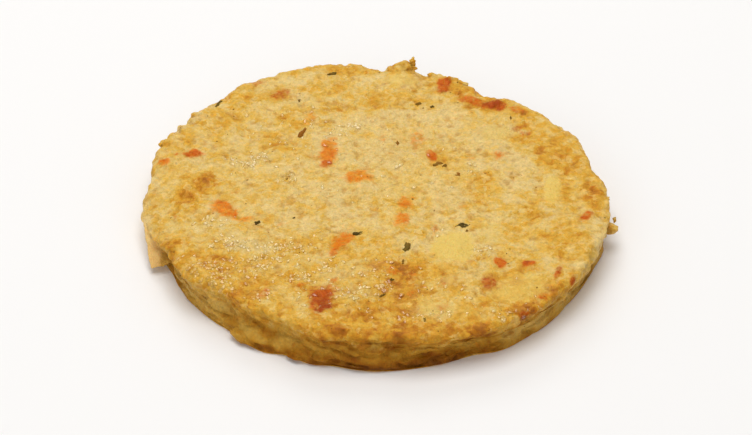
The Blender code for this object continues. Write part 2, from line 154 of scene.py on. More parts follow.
def bump(distance):
    """A soft rounded bump: 1 in the middle, 0 from distance 1 on."""
    return (1.0 - distance * distance) ** 2 if distance < 1.0 else 0.0


def radius_at(angle, height):
    """The wall's radius before its relief, at an angle in radians and a height."""
    place = (angle / math.tau) % 1.0 * OUTLINE_SAMPLES
    low = int(place) % OUTLINE_SAMPLES
    part = place - int(place)
    high = (low + 1) % OUTLINE_SAMPLES
    lip = LIP_RADII[low] * (1.0 - part) + LIP_RADII[high] * part
    foot = FOOT_RADII[low] * (1.0 - part) + FOOT_RADII[high] * part
    share = smooth_step((height - LIP_FROM) / (LIP_FULL - LIP_FROM))
    waist = WAIST_DEPTH * math.exp(-(((height - WAIST_HEIGHT) / WAIST_SPREAD) ** 2))
    return foot + (lip - foot) * share - waist


print("wall radius at the front in mm:", round(radius_at(-0.5 * math.pi, 0.5 * TOP_HEIGHT), 1))

# %% Relief of the top face
SEED_OFFSET = Vector((31.7, 12.9, 4.3))
LEFT_FALL_START = -41.0
LEFT_FALL_END = -53.0
LEFT_FALL = 3.2
LEFT_FALL_Y = -5.0
LEFT_FALL_SPREAD = 12.5
TOP_SWELLS = ((0.75, 17.0), (0.50, 7.0), (0.30, 3.4))
FLAKE_HEIGHT = 0.50
FLAKE_SIZE = 5.2
FLAKE_CAP = 0.55
# Lumps under the crust: x, y, half length, half width, turn in degrees, height (negative is a dent)
LUMPS = (
    (15.8, -18.5, 5.2, 4.6, 75, 0.75), (30, -32, 6.5, 5, 30, 0.35), (38, 2, 2.2, 5.5, 10, 0.35),
    (25, 23, 4.6, 3.4, 20, 0.4), (12, -40, 4.8, 3.6, 0, 0.4), (22, 18, 5.2, 4.6, 0, 0.3),
    (-42.5, -0.5, 2.6, 3, 0, -0.85), (-38.5, 3.5, 2.6, 4.2, -15, -0.45), (5, 42, 4.2, 3.2, 0, 0.4),
    (24, -19, 2.8, 4.8, -5, 0.35), (-27, 31.5, 3.2, 2.4, 40, 0.45), (-20.5, 6, 1.6, 2.6, 0, -0.5),
    (-12, 5, 6.5, 4.5, 30, 0.35), (-25, -12, 7, 3.6, 15, 0.3), (6, 13, 5, 3.4, -20, 0.3),
    (20, -26, 5, 1.2, 15, -0.55), (33.5, -7, 2.4, 1.8, 0, -0.45), (1, -30.5, 2.2, 3.4, 0, -0.45),
    (-30, -36.5, 4, 1.8, -30, 0.4), (0, 30, 8, 4, 5, 0.25), (36, 17, 4.6, 3, -50, 0.3),
    (-33, 26, 4.6, 3, 45, 0.3),
)


def left_fall(x, y):
    """How much lower the patty is towards its left rim, as a share of its height."""
    across = smooth_step((LEFT_FALL_START - x) / (LEFT_FALL_START - LEFT_FALL_END))
    along = math.exp(-(((y - LEFT_FALL_Y) / LEFT_FALL_SPREAD) ** 2))
    return LEFT_FALL * across * along / TOP_HEIGHT


def lump_height(x, y):
    """Height of the named lumps and dents of the top face."""
    total = 0.0
    for cx, cy, half_x, half_y, turn, height in LUMPS:
        dx, dy = x - cx, y - cy
        if abs(dx) > half_x + half_y or abs(dy) > half_x + half_y:
            continue
        cos, sin = math.cos(math.radians(turn)), math.sin(math.radians(turn))
        along, across = (dx * cos + dy * sin) / half_x, (dy * cos - dx * sin) / half_y
        total += height * bump(math.hypot(along, across))
    return total


def top_relief(x, y):
    """Relief of the top face: swells, overlapping flakes and lumps."""
    at = Vector((x, y, 0.0))
    total = lump_height(x, y)
    for amplitude, length in TOP_SWELLS:
        total += amplitude * noise.noise(at / length + SEED_OFFSET)
    nearest = noise.voronoi(at / FLAKE_SIZE + SEED_OFFSET)[0]
    total += FLAKE_HEIGHT * (min(nearest[1] - nearest[0], FLAKE_CAP) - 0.5 * FLAKE_CAP)
    return total


print("relief over the middle in mm:", round(top_relief(0.0, 0.0), 2))

# %% Relief of the wall
GROOVE_DEPTH = 0.7
GROOVE_HEIGHT = 6.5
GROOVE_SPREAD = 0.6
GROOVE_MEAN = 0.5
GROOVE_CHANGE = 0.9
GROOVE_BREAKS = 5.0
GROOVE_SLICE = 3.0
WALL_SWELLS = ((1.0, 9.0, 5.5), (0.55, 4.4, 2.8), (0.25, 2.6, 1.5))
CREVICE_DEPTH = 0.8
CREVICE_LENGTH = 8.0
CREVICE_HEIGHT = 2.0
CREVICE_SHARPNESS = 6.0
CREVICE_TOP = 7.4
CREVICE_FADE = 1.6
# Broken edge of the lip: angle, half width in degrees, how far its teeth reach
RAGGED_RIM = (
    (14, 16, 0.5), (36, 12, 0.5), (60, 13, 0.9), (79, 12, 1), (104, 16, 0.6), (124, 14, 0.6),
    (150, 16, 1.6), (200, 30, 0.4), (236, 16, 0.4), (268, 20, 0.3), (300, 24, 0.3), (338, 20, 0.5),
)
RAGGED_TOOTH = 1.7
RAGGED_STRENGTH = 1.6
RAGGED_FROM = 5.5
RAGGED_FULL = 7.5


def ragged_lip(angle, height):
    """How far the broken teeth of the lip stand out at an angle."""
    degrees = math.degrees(angle) % 360.0
    reach = 0.0
    for middle, half_width, depth in RAGGED_RIM:
        away = abs((degrees - middle + 180.0) % 360.0 - 180.0)
        reach += depth * bump(away / half_width)
    share = smooth_step((height - RAGGED_FROM) / (RAGGED_FULL - RAGGED_FROM))
    ring = Vector((math.cos(angle), math.sin(angle), height / NOMINAL_RADIUS))
    return reach * share * RAGGED_STRENGTH * noise.noise(ring * (NOMINAL_RADIUS / RAGGED_TOOTH))


def wall_relief(x, y, z, angle):
    """Relief of the wall: swells, lengthwise crevices and the broken groove under the lip."""
    total = 0.0
    for amplitude, around, up in WALL_SWELLS:
        total += amplitude * noise.noise(Vector((x / around, y / around, z / up)) - SEED_OFFSET)
    at = Vector((x / CREVICE_LENGTH, y / CREVICE_LENGTH, z / CREVICE_HEIGHT)) + SEED_OFFSET
    crevice = max(0.0, 1.0 - CREVICE_SHARPNESS * abs(noise.noise(at)))
    total -= CREVICE_DEPTH * crevice * smooth_step((CREVICE_TOP - z) / CREVICE_FADE)
    ring = Vector((math.cos(angle) * GROOVE_BREAKS, math.sin(angle) * GROOVE_BREAKS, GROOVE_SLICE))
    reach = GROOVE_MEAN + GROOVE_CHANGE * noise.noise(ring)
    groove = math.exp(-(((z - GROOVE_HEIGHT) / GROOVE_SPREAD) ** 2))
    return total - GROOVE_DEPTH * max(0.0, reach) * groove


print("relief of the wall on the right in mm:", round(wall_relief(NOMINAL_RADIUS, 0.0, 4.0, 0.0), 2))

# %% Shape one point
BASE_MARGIN = 0.01
WALL_BLEND = 1.5
EDGE_BLEND = 1.0


def shaped(x, y, z):
    """Moves one point of the turned body to its place on the finished patty."""
    rho = math.hypot(x, y)
    angle = math.atan2(y, x)
    scale = radius_at(angle, z) / NOMINAL_RADIUS
    x, y = x * scale + CENTRE_X, y * scale + CENTRE_Y
    if z <= 0.0 and rho < NOMINAL_RADIUS - FOOT_EDGE - BASE_MARGIN:
        return x, y, 0.0
    on_wall = smooth_step((rho - NOMINAL_RADIUS + TOP_EDGE + WALL_BLEND) / (TOP_EDGE + EDGE_BLEND))
    on_wall *= smooth_step(z / FOOT_EDGE)
    if on_wall > 0.0:
        push = on_wall * (wall_relief(x, y, z, angle) + ragged_lip(angle, z))
        x += push * math.cos(angle)
        y += push * math.sin(angle)
    on_top = smooth_step((z - TOP_HEIGHT + TOP_EDGE + EDGE_BLEND) / (TOP_EDGE + EDGE_BLEND))
    if on_top > 0.0:
        z += on_top * top_relief(x, y)
    return x, y, z * (1.0 - left_fall(x, y))


def top_height(x, y):
    """Height of the finished top face over a place well inside the rim."""
    return (TOP_HEIGHT + top_relief(x, y)) * (1.0 - left_fall(x, y))


print("top height over the middle in mm:", round(top_height(0.0, 0.0), 2))

# %% [markdown]
# ## Turning the body
#
# The body is a section turned round an axis, so the Screw modifier makes it, with the section drawn from
# the top's middle, out over the rounded edge, down the wall and in along the base. The points are closer
# together than the smallest flake, and Decimate then thins the middle, where a turned mesh is crowded for
# nothing.

# %% Half the section
FACE_RINGS = 120
WALL_RINGS = 36
EDGE_RINGS = 12


def turned_profile():
    """Half the patty's section, from the top's middle out over the edge and in along the base."""
    points = []
    inner = NOMINAL_RADIUS - TOP_EDGE
    for step in range(FACE_RINGS + 1):
        points.append((inner * step / FACE_RINGS, TOP_HEIGHT))
    for step in range(1, EDGE_RINGS + 1):
        turn = 0.5 * math.pi * step / EDGE_RINGS
        points.append((inner + TOP_EDGE * math.sin(turn), TOP_HEIGHT - TOP_EDGE * (1.0 - math.cos(turn))))
    wall_top = TOP_HEIGHT - TOP_EDGE
    for step in range(1, WALL_RINGS + 1):
        points.append((NOMINAL_RADIUS, wall_top + (FOOT_EDGE - wall_top) * step / WALL_RINGS))
    for step in range(1, EDGE_RINGS + 1):
        turn = 0.5 * math.pi * step / EDGE_RINGS
        inset, height = FOOT_EDGE * (1.0 - math.cos(turn)), FOOT_EDGE * (1.0 - math.sin(turn))
        points.append((NOMINAL_RADIUS - inset, height))
    points.append((0.0, 0.0))
    return points


profile = [(radius, 0.0, height) for radius, height in turned_profile()]
print("points of the half section:", len(profile))

# %% Helpers for meshes


def plain_mesh(obj, name):
    """A plain mesh object of an object with its modifiers applied. The first object is removed."""
    graph = bpy.context.evaluated_depsgraph_get()
    mesh = bpy.data.meshes.new_from_object(obj.evaluated_get(graph), depsgraph=graph)
    plain = bpy.data.objects.new(name, mesh)
    bpy.context.scene.collection.objects.link(plain)
    bpy.data.objects.remove(obj, do_unlink=True)
    return plain


def triangle_count(obj):
    """How many triangles a mesh has."""
    return sum(len(polygon.vertices) - 2 for polygon in obj.data.polygons)


def new_mesh_object(name, vertices, edges=(), faces=()):
    """A linked mesh object from points in millimetres."""
    mesh = bpy.data.meshes.new(name)
    mesh.from_pydata([tuple(value * MM for value in point) for point in vertices], list(edges), list(faces))
    obj = bpy.data.objects.new(name, mesh)
    bpy.context.scene.collection.objects.link(obj)
    return obj


section = new_mesh_object("section", profile, edges=[(i, i + 1) for i in range(len(profile) - 1)])
print("edges of the half section:", len(section.data.edges))

# %% Turn the section and shape it
TURN_STEPS = 720
MERGE_DISTANCE = 0.01

screw = section.modifiers.new("turn", "SCREW")
screw.axis = "Z"
screw.steps = TURN_STEPS
screw.render_steps = TURN_STEPS
screw.use_merge_vertices = True
screw.merge_threshold = MERGE_DISTANCE * MM
patty = plain_mesh(section, "patty")
for vertex in patty.data.vertices:
    vertex.co = Vector(shaped(*(vertex.co / MM))) * MM
print("turned points:", len(patty.data.vertices))

# %% Thin the crowded middle
BODY_TRIANGLES = 160000

thin = patty.modifiers.new("thin", "DECIMATE")
thin.ratio = min(1.0, BODY_TRIANGLES / triangle_count(patty))
patty = plain_mesh(patty, "patty")
print("triangles after thinning:", triangle_count(patty))

# %% [markdown]
# ## Crags, crumbs and the peeled flap
#
# Where the patty broke a little, crumbs and short crags stand on its rim, and on the left a strip of crust
# has peeled off the wall. Crumbs could be scattered, but the real ones sit at known places, so each is an
# uneven ball put where it belongs. The flap is a small sheet given thickness by Solidify. One Boolean union
# makes all of them grow out of the body without a seam.

# %% Crags and crumbs
# Each row: x, y, z, half length, half width, half height, turn
CRAGS = (
    (5.4, 47.6, 9, 2.9, 1.9, 1.7, 8), (3.2, 46.8, 9.1, 1.7, 1.5, 1.2, 0),
    (7.4, 47.9, 9.9, 0.8, 0.8, 1.6, 0), (12.6, 44.4, 8.5, 2.2, 1.1, 1.2, -15),
    (16, 43.3, 8.6, 2, 1.1, 1.1, -18), (18.7, 41.8, 8.6, 1.4, 1, 1, -30),
    (-5.6, 48, 8.3, 2.8, 1.3, 1.2, 0), (-13.5, 48.2, 8.2, 2.8, 1.2, 1.1, 5),
    (-46.7, 22.6, 8.5, 1.6, 0.6, 0.5, 62), (-44.7, 25.3, 8.6, 0.5, 0.5, 1, 60),
    (-48.5, 20, 8.2, 1.4, 0.7, 0.6, 68), (-29, 41.7, 8.1, 2.2, 1.1, 1.1, 35),
    (27.4, 35.7, 8.1, 1.8, 0.8, 0.9, -35), (32.2, 32.7, 7.9, 1.6, 0.8, 0.9, -45),
    (50.7, -6.3, 4.9, 2.1, 1.4, 1.4, -10), (51.5, -4.4, 5.8, 0.6, 0.5, 0.9, 0),
    (50, 1.4, 7, 0.8, 0.6, 0.6, 0), (-29.3, -39.2, 1.5, 3.6, 1.9, 1.2, -42),
    (-17.6, -45.3, 1.2, 2.8, 1.4, 0.9, -20),
)
CRAG_SEED = 37
CRAG_ROUGHNESS = 0.42
CRAG_GRAIN = 0.05
GROUND_GAP = 0.15
BALL_SUBDIVISIONS = 4
# Swells and finer grains to a ball's radius
BALL_SWELLS = 1.2
BALL_GRAINS = 4.0
# How far each seed slides the noise along
SWELL_STEP_X, SWELL_STEP_Y = 7.3, 3.1
GRAIN_STEP_Y, GRAIN_STEP_Z = 1.9, 4.7


def rough_ball(name, roughness, grain, seed):
    """An uneven ball of radius 1, pushed in and out by noise, with finer grain on top."""
    mesh = bpy.data.meshes.new(name)
    shape = bmesh.new()
    bmesh.ops.create_icosphere(shape, subdivisions=BALL_SUBDIVISIONS, radius=1.0)
    swell_at = Vector((seed * SWELL_STEP_X, seed * SWELL_STEP_Y, 0.0))
    grain_at = Vector((0.0, seed * GRAIN_STEP_Y, seed * GRAIN_STEP_Z))
    for vertex in shape.verts:
        push = noise.noise(vertex.co * BALL_SWELLS + swell_at)
        fine = noise.noise(vertex.co * BALL_GRAINS + grain_at)
        vertex.co *= 1.0 + roughness * push + grain * fine
    shape.to_mesh(mesh)
    shape.free()
    return bpy.data.objects.new(name, mesh)


def put(obj, position, size, turn):
    """Scales, turns and moves a mesh's own points, and keeps them off the ground."""
    spin = Matrix.Rotation(math.radians(turn), 4, "Z")
    stretch = Matrix.Diagonal((size[0] * MM, size[1] * MM, size[2] * MM, 1.0))
    obj.data.transform(Matrix.Translation(Vector(position) * MM) @ spin @ stretch)
    for vertex in obj.data.vertices:
        vertex.co.z = max(vertex.co.z, GROUND_GAP * MM)


grown = bpy.data.collections.new("grown_pieces")
bpy.context.scene.collection.children.link(grown)
for number, (x, y, z, half_x, half_y, half_z, turn) in enumerate(CRAGS):
    crag = rough_ball("crag", CRAG_ROUGHNESS, CRAG_GRAIN, CRAG_SEED + number)
    put(crag, (x, y, z), (half_x, half_y, half_z), turn)
    grown.objects.link(crag)

# %% Peeled flap of crust
FLAP_ROWS = (
    ((-47.0, 7.5, 6.6), (-50.6, 8.2, 6.3)),
    ((-47.5, 3.0, 6.4), (-52.0, 3.2, 6.0)),
    ((-47.8, -1.5, 5.9), (-52.5, -1.4, 5.5)),
    ((-47.4, -6.0, 5.2), (-52.0, -6.2, 4.6)),
    ((-46.6, -9.5, 4.3), (-51.3, -10.0, 3.4)),
    ((-45.6, -12.8, 3.3), (-50.8, -13.6, 2.3)),
    ((-45.0, -15.2, 2.5), (-50.2, -16.8, 1.3)),
)
FLAP_THICKNESS = 1.3
FLAP_CUTS = 2
FLAP_LEVELS = 3
FLAP_GRAIN = 0.22
FLAP_GRAIN_SIZE = 1.4

columns = FLAP_CUTS + 2
flap_points = []
for inner, outer in FLAP_ROWS:
    for step in range(columns):
        flap_points.append(Vector(inner).lerp(Vector(outer), step / (columns - 1)))
flap_faces = []
for row in range(len(FLAP_ROWS) - 1):
    for step in range(columns - 1):
        corner = row * columns + step
        flap_faces.append((corner, corner + columns, corner + columns + 1, corner + 1))
flap = new_mesh_object("flap", flap_points, faces=flap_faces)
thick = flap.modifiers.new("thickness", "SOLIDIFY")
thick.thickness = FLAP_THICKNESS * MM
thick.offset = 0.0
rounded = flap.modifiers.new("rounding", "SUBSURF")
rounded.levels = FLAP_LEVELS
rounded.render_levels = FLAP_LEVELS
flap = plain_mesh(flap, "flap")
for vertex in flap.data.vertices:
    vertex.co += vertex.normal * (FLAP_GRAIN * MM * noise.noise(vertex.co / (FLAP_GRAIN_SIZE * MM)))
shape = bmesh.new()
shape.from_mesh(flap.data)
bmesh.ops.recalc_face_normals(shape, faces=shape.faces)
shape.to_mesh(flap.data)
shape.free()
bpy.context.scene.collection.objects.unlink(flap)
grown.objects.link(flap)
print("flap triangles:", triangle_count(flap))

# %% Grow everything together
union = patty.modifiers.new("grow", "BOOLEAN")
union.operation = "UNION"
union.operand_type = "COLLECTION"
union.collection = grown
union.solver = "MANIFOLD"
patty = plain_mesh(patty, "patty")
for piece in list(grown.objects):
    bpy.data.objects.remove(piece, do_unlink=True)
bpy.data.collections.remove(grown)
print("patty triangles:", triangle_count(patty))

# %% [markdown]
# ## Fine grain of the fried surface
#
# Frying leaves bubbles, wrinkles and tiny crumbs of about a millimetre, which the big forms do not have. A
# bump map alone would leave the outline of the rim too smooth, so the points themselves move along their
# normals by a little noise in several sizes. Whole arrays of points are moved at once with numpy, which is
# quick.

# %% Noise for whole arrays of points
# Large odd numbers that mix a cell's place into a value that looks random
NOISE_A, NOISE_B, NOISE_C, NOISE_D = 374761393, 668265263, 2147483647, 1274126177
NOISE_SHIFT_A, NOISE_SHIFT_B = 13, 16
NOISE_STEPS = 0xFFFF
NOISE_SLIDE = 17.13


def field(points, size, seed):
    """Smooth noise from -1 to 1 at many points at once. Its bumps are about size across."""
    place = points / size + seed * NOISE_SLIDE
    cell = np.floor(place).astype(np.int64)
    part = place - cell
    fade = part * part * part * (part * (part * 6.0 - 15.0) + 10.0)
    total = np.zeros(len(points))
    for corner in itertools.product((0, 1), repeat=3):
        at = cell + np.array(corner)
        mixed = at[:, 0] * NOISE_A + at[:, 1] * NOISE_B + at[:, 2] * NOISE_C + seed * NOISE_D
        mixed = (mixed ^ (mixed >> NOISE_SHIFT_A)) * NOISE_D
        value = ((mixed ^ (mixed >> NOISE_SHIFT_B)) & NOISE_STEPS) / (NOISE_STEPS / 2) - 1.0
        weight = np.prod(np.where(np.array(corner) == 1, fade, 1.0 - fade), axis=1)
        total += value * weight
    return total


print("noise at two places:", field(np.array(((0.0, 0.0, 0.0), (1.0, 2.0, 3.0))), 3.0, 1).round(2))

# %% Easing and reading arrays of points


def eased(value):
    """Eases an array from 0 to 1."""
    value = np.clip(value, 0.0, 1.0)
    return value * value * (3.0 - 2.0 * value)


def between(value, none, full):
    """Eases from 0, where a value is at none, to 1, where it is at full."""
    return eased((value - none) / (full - none))


def layered(at, layers):
    """Adds up noise in several sizes. Each layer: strength, size, seed."""
    return sum(strength * field(at, size, seed) for strength, size, seed in layers)


def flattened(at):
    """The same points with no height."""
    return at * np.array((1.0, 1.0, 0.0))


def read_points(obj):
    """A mesh's points in millimetres and its point normals."""
    count = len(obj.data.vertices)
    flat = np.empty(count * 3)
    obj.data.vertices.foreach_get("co", flat)
    normals = np.empty(count * 3)
    obj.data.vertices.foreach_get("normal", normals)
    return flat.reshape(-1, 3) / MM, normals.reshape(-1, 3)


def write_points(obj, points):
    """Puts points in millimetres back into a mesh."""
    obj.data.vertices.foreach_set("co", (points * MM).ravel())
    obj.data.update()


points, normals = read_points(patty)
print("points of the patty:", len(points))

# %% Dice of carrot, pepper and potato that show
# Each row: x, y, length, width, turn of the length from +X, strength, how deep its colour is
CARROT_SPOTS = (
    (-11.4, 15, 8.4, 3.8, 84, 1, 0.3), (-12, 11.2, 2.6, 2.2, 60, 1, 0.65),
    (-5, 6.1, 5.4, 4, 10, 0.9, 0.2), (-35, -4.4, 5.4, 4.4, -50, 0.95, 0.3),
    (-33, -6.4, 4.6, 3.6, -30, 0.85, 0.3), (-29, -8.6, 4.8, 2.2, -10, 0.7, 0.15),
    (-41.8, 14.6, 5.2, 2.3, -5, 1, 0.6), (-48, 12, 2.4, 2.2, 0, 0.9, 0.4),
    (-45.2, 14.4, 1.2, 1.2, 0, 0.8, 0.5), (4.9, -8.8, 5.6, 3.2, 85, 0.85, 0.25),
    (5.6, -3, 5.4, 2.6, 80, 0.8, 0.22), (7.3, -0.8, 2, 1.2, 0, 0.6, 0.1),
    (-8.4, -16.4, 7, 3.8, 65, 0.9, 0.35), (-9.8, -20, 3, 2.2, 40, 0.7, 0.45),
    (-12.8, -36.4, 8.4, 5.2, 80, 0.92, 0.78), (-12, -39.6, 4, 2.4, 50, 1, 1),
    (-9.9, -29.8, 3, 1.4, 70, 0.7, 0.6), (45.2, -7.8, 4.2, 2, 50, 0.9, 0.55),
    (32, -24.3, 3.6, 2.8, 10, 1, 0.65), (26, -23.3, 3.2, 2.2, -60, 0.95, 0.45),
    (23.5, -31, 4.4, 3, -70, 0.7, 0.8), (14.5, 40.6, 5, 3.2, 80, 0.9, 0.7),
    (20.6, 35, 6.4, 3.2, -30, 0.7, 0.55), (26, 32.6, 5.4, 3.4, -15, 0.9, 0.8),
    (30.4, 31.2, 4, 2, -25, 0.6, 0.5), (11.5, 14.4, 4, 2, -75, 0.85, 0.55),
    (8.5, 20.8, 6, 3.2, 85, 0.45, 0.45), (26.5, 14, 3.4, 2.6, -40, 0.65, 0.3),
    (20.4, 13.6, 3.4, 1.4, 10, 0.4, 0.2), (-22.6, 37, 5, 3.2, 55, 0.55, 0.8),
    (-27.8, 41.2, 3.6, 2.4, 30, 0.5, 0.7), (-25, -34, 4.6, 2.4, 70, 0.55, 0.7),
    (-17, -31.6, 2.2, 1.6, 60, 0.6, 0.5), (38.4, -27, 4.2, 1.5, 70, 0.7, 0.7),
    (41.4, -29.6, 2.8, 1.8, 45, 0.75, 0.9), (35, -35, 2.6, 1.8, 20, 0.6, 0.55),
    (12, -11.8, 3.6, 1.6, 80, 0.7, 0.25), (0.6, 20.2, 3.4, 2, 80, 0.45, 0.3),
    (-15.6, 28, 5.6, 2.4, 75, 0.4, 0.15), (30.8, 24.2, 2.6, 1.8, 20, 0.55, 0.8),
    (32.6, 22.4, 2, 1.6, 0, 0.5, 0.7), (13.4, -31.2, 3.4, 1.3, 85, 0.45, 0.7),
    (13.2, -39.4, 3, 2.4, 20, 0.45, 0.6), (2.8, -27.4, 2.8, 2.4, 10, 0.55, 0.5),
    (7, -28.2, 2, 1.6, 10, 0.45, 0.5), (-21.6, -10.4, 3.6, 1.6, 10, 0.35, 0.2),
    (-32, 1.2, 2.6, 2, 30, 0.35, 0.2), (-10.5, -33, 5, 3.4, 75, 0.5, 0.55),
    (30.6, -40.6, 2, 1.6, 0, 0.6, 0.6), (6.6, -35, 2.2, 1.8, 0, 0.4, 0.5),
    (-45, -6.4, 1.2, 1.8, 0, 0.7, 0.6), (47.3, 3.6, 1.4, 1.2, 0, 0.5, 0.6),
    (18, -3.8, 2.2, 1.2, 30, 0.35, 0.4),
)
# Smooth potato dice that show through the crust: x, y, length, width, turn, strength
POTATO = (
    (15.8, -18.5, 10.5, 9.5, 75, 1), (30, -32.5, 13, 8.5, 25, 0.5), (38, 2, 10, 3.4, 85, 0.8),
    (26, 22.5, 7, 5, 20, 0.5), (5, 42, 7, 4.5, 0, 0.5), (12, -39.5, 8, 5, 0, 0.5),
    (24, -13.5, 4.5, 8, -8, 0.35),
)
print("carrot and pepper spots:", len(CARROT_SPOTS), "potato dice:", len(POTATO))

# %% Spots on the top face
SPOT_POWER = 2.1
SPOT_REACH = 0.8
SPOT_WANDER = ((1.0, 2.2, 5), (0.6, 1.0, 6))


def oval_place(at, x, y, length, width, turn):
    """Where points lie along and across a turned oval, as shares of its half length and half width."""
    cos, sin = math.cos(math.radians(turn)), math.sin(math.radians(turn))
    dx, dy = at[:, 0] - x, at[:, 1] - y
    return (dx * cos + dy * sin) / (0.5 * length), (dy * cos - dx * sin) / (0.5 * width)


def spot_mask(at, rows, blur, wander):
    """How strongly the spots cover each point, with wandering edges, and which row covers it most."""
    edge = wander * layered(flattened(at), SPOT_WANDER)
    total = np.zeros(len(at))
    winner = np.zeros(len(at), int)
    for number, (x, y, length, width, turn, strength) in enumerate(row[:6] for row in rows):
        reach = SPOT_REACH * (length + width)
        near = np.flatnonzero((np.abs(at[:, 0] - x) < reach) & (np.abs(at[:, 1] - y) < reach))
        along, across = np.abs(oval_place(at[near], x, y, length, width, turn))
        away = (along ** SPOT_POWER + across ** SPOT_POWER) ** (1 / SPOT_POWER) + edge[near]
        cover = strength * between(away, 1.0 + blur / 2, 1.0 - blur / 2)
        better = cover > total[near]
        total[near[better]] = cover[better]
        winner[near[better]] = number
    return total, winner


oval_end = oval_place(np.array(((1.0, 0.0, 0.0),)), 0.0, 0.0, 2.0, 1.0, 0.0)
print("shares along and across at an oval's end:", np.round(oval_end, 2).ravel())

# %% Points on top, on a crag and on the base
# Each pair: where a share is still 0, where it has reached 1
CRAG_REACH = (0.2, 0.8)
TOP_HEIGHTS = (6.0, 8.0)
TOP_TILTS = (0.2, 0.6)
BASE_TILT = -0.7
BASE_CEILING = 0.4

from_middle = np.hypot(points[:, 0] - CENTRE_X, points[:, 1] - CENTRE_Y)
around = np.arctan2(points[:, 1] - CENTRE_Y, points[:, 0] - CENTRE_X) / math.tau * OUTLINE_SAMPLES
on_crag = between(from_middle - LIP_RADII[around.astype(int) % OUTLINE_SAMPLES], *CRAG_REACH)
upward = between(points[:, 2], *TOP_HEIGHTS) * between(normals[:, 2], *TOP_TILTS)
on_base = (normals[:, 2] < BASE_TILT) & (points[:, 2] < BASE_CEILING)
off_base = np.where(on_base, 0.0, 1.0)
print("share of points on top:", round(float(upward.mean()), 2))
print("share of points on the base:", round(float(on_base.mean()), 2))

# %% Where carrot and potato show
CARROT_BLUR, CARROT_WANDER = 1.1, 0.34
CARROT_GLOW_BLUR, CARROT_GLOW = 2.4, 0.42
POTATO_BLUR, POTATO_WANDER = 0.35, 0.15

carrot_cover = spot_mask(points, CARROT_SPOTS, CARROT_BLUR, CARROT_WANDER)[0] * upward
carrot_glow, carrot_row = spot_mask(points, CARROT_SPOTS, CARROT_GLOW_BLUR, CARROT_WANDER)
carrot_shown = np.maximum(carrot_cover, CARROT_GLOW * carrot_glow * upward)
carrot_depth = np.array([row[6] for row in CARROT_SPOTS])[carrot_row]
potato_cover = spot_mask(points, POTATO, POTATO_BLUR, POTATO_WANDER)[0] * upward
print("carrot share of the top:", round(float(carrot_cover[upward > 0.5].mean()), 3))

# %% Lower and raise the surface in small sizes
DICE_RISE = 0.20
TOP_GRAIN = ((0.12, 2.1, 11), (0.18, 1.2, 12), (0.13, 0.7, 13))
WALL_GRAIN = ((0.18, 2.0, 21), (0.12, 1.1, 22), (0.07, 0.6, 23))
WALL_GRAIN_SQUASH = np.array((1.0, 1.0, 1.5))
WALL_SKIN = 0.25
POTATO_CALM = 0.8
CRAG_CALM = 0.65
CREASE_DEPTH = 0.07
CREASE_SHARPNESS = 7.0
CREASE_SIZE, CREASE_SEED = 2.6, 71
CREASED_PATCH, CREASED_SEED = 6.0, 72
CREASED_MEAN = 0.4

flat_points = flattened(points)
sideways = (1.0 - upward) * off_base
calm = (1.0 - POTATO_CALM * potato_cover) * (1.0 - CRAG_CALM * on_crag)
# Thin wandering furrows: 0 outside them and 1 at their bottom
creases = np.clip(1.0 - CREASE_SHARPNESS * np.abs(field(flat_points, CREASE_SIZE, CREASE_SEED)), 0.0, 1.0)
furrow = creases * upward * calm * eased(CREASED_MEAN + field(flat_points, CREASED_PATCH, CREASED_SEED))
push = upward * calm * layered(points, TOP_GRAIN)
push += sideways * calm * layered(points * WALL_GRAIN_SQUASH, WALL_GRAIN)
push += DICE_RISE * carrot_cover - WALL_SKIN * sideways - CREASE_DEPTH * furrow
push[on_base] = 0.0
points = points + normals * push[:, None]
print("grain moved points by up to", round(float(np.abs(push).max()), 2), "mm")

# %% Keep inside the plain solid
# The small move that centred the solid over its base, after it was made
CENTRING = (0.0624, -0.3567, 0.0)
solid_low, solid_high = (np.array(corner) / MM - np.array(CENTRING) for corner in cad_box)
outside = np.any((points < solid_low) | (points > solid_high), axis=1)
points = np.clip(points, solid_low, solid_high)
write_points(patty, points)
print("points brought back inside the solid's box:", int(outside.sum()), "of", len(points))
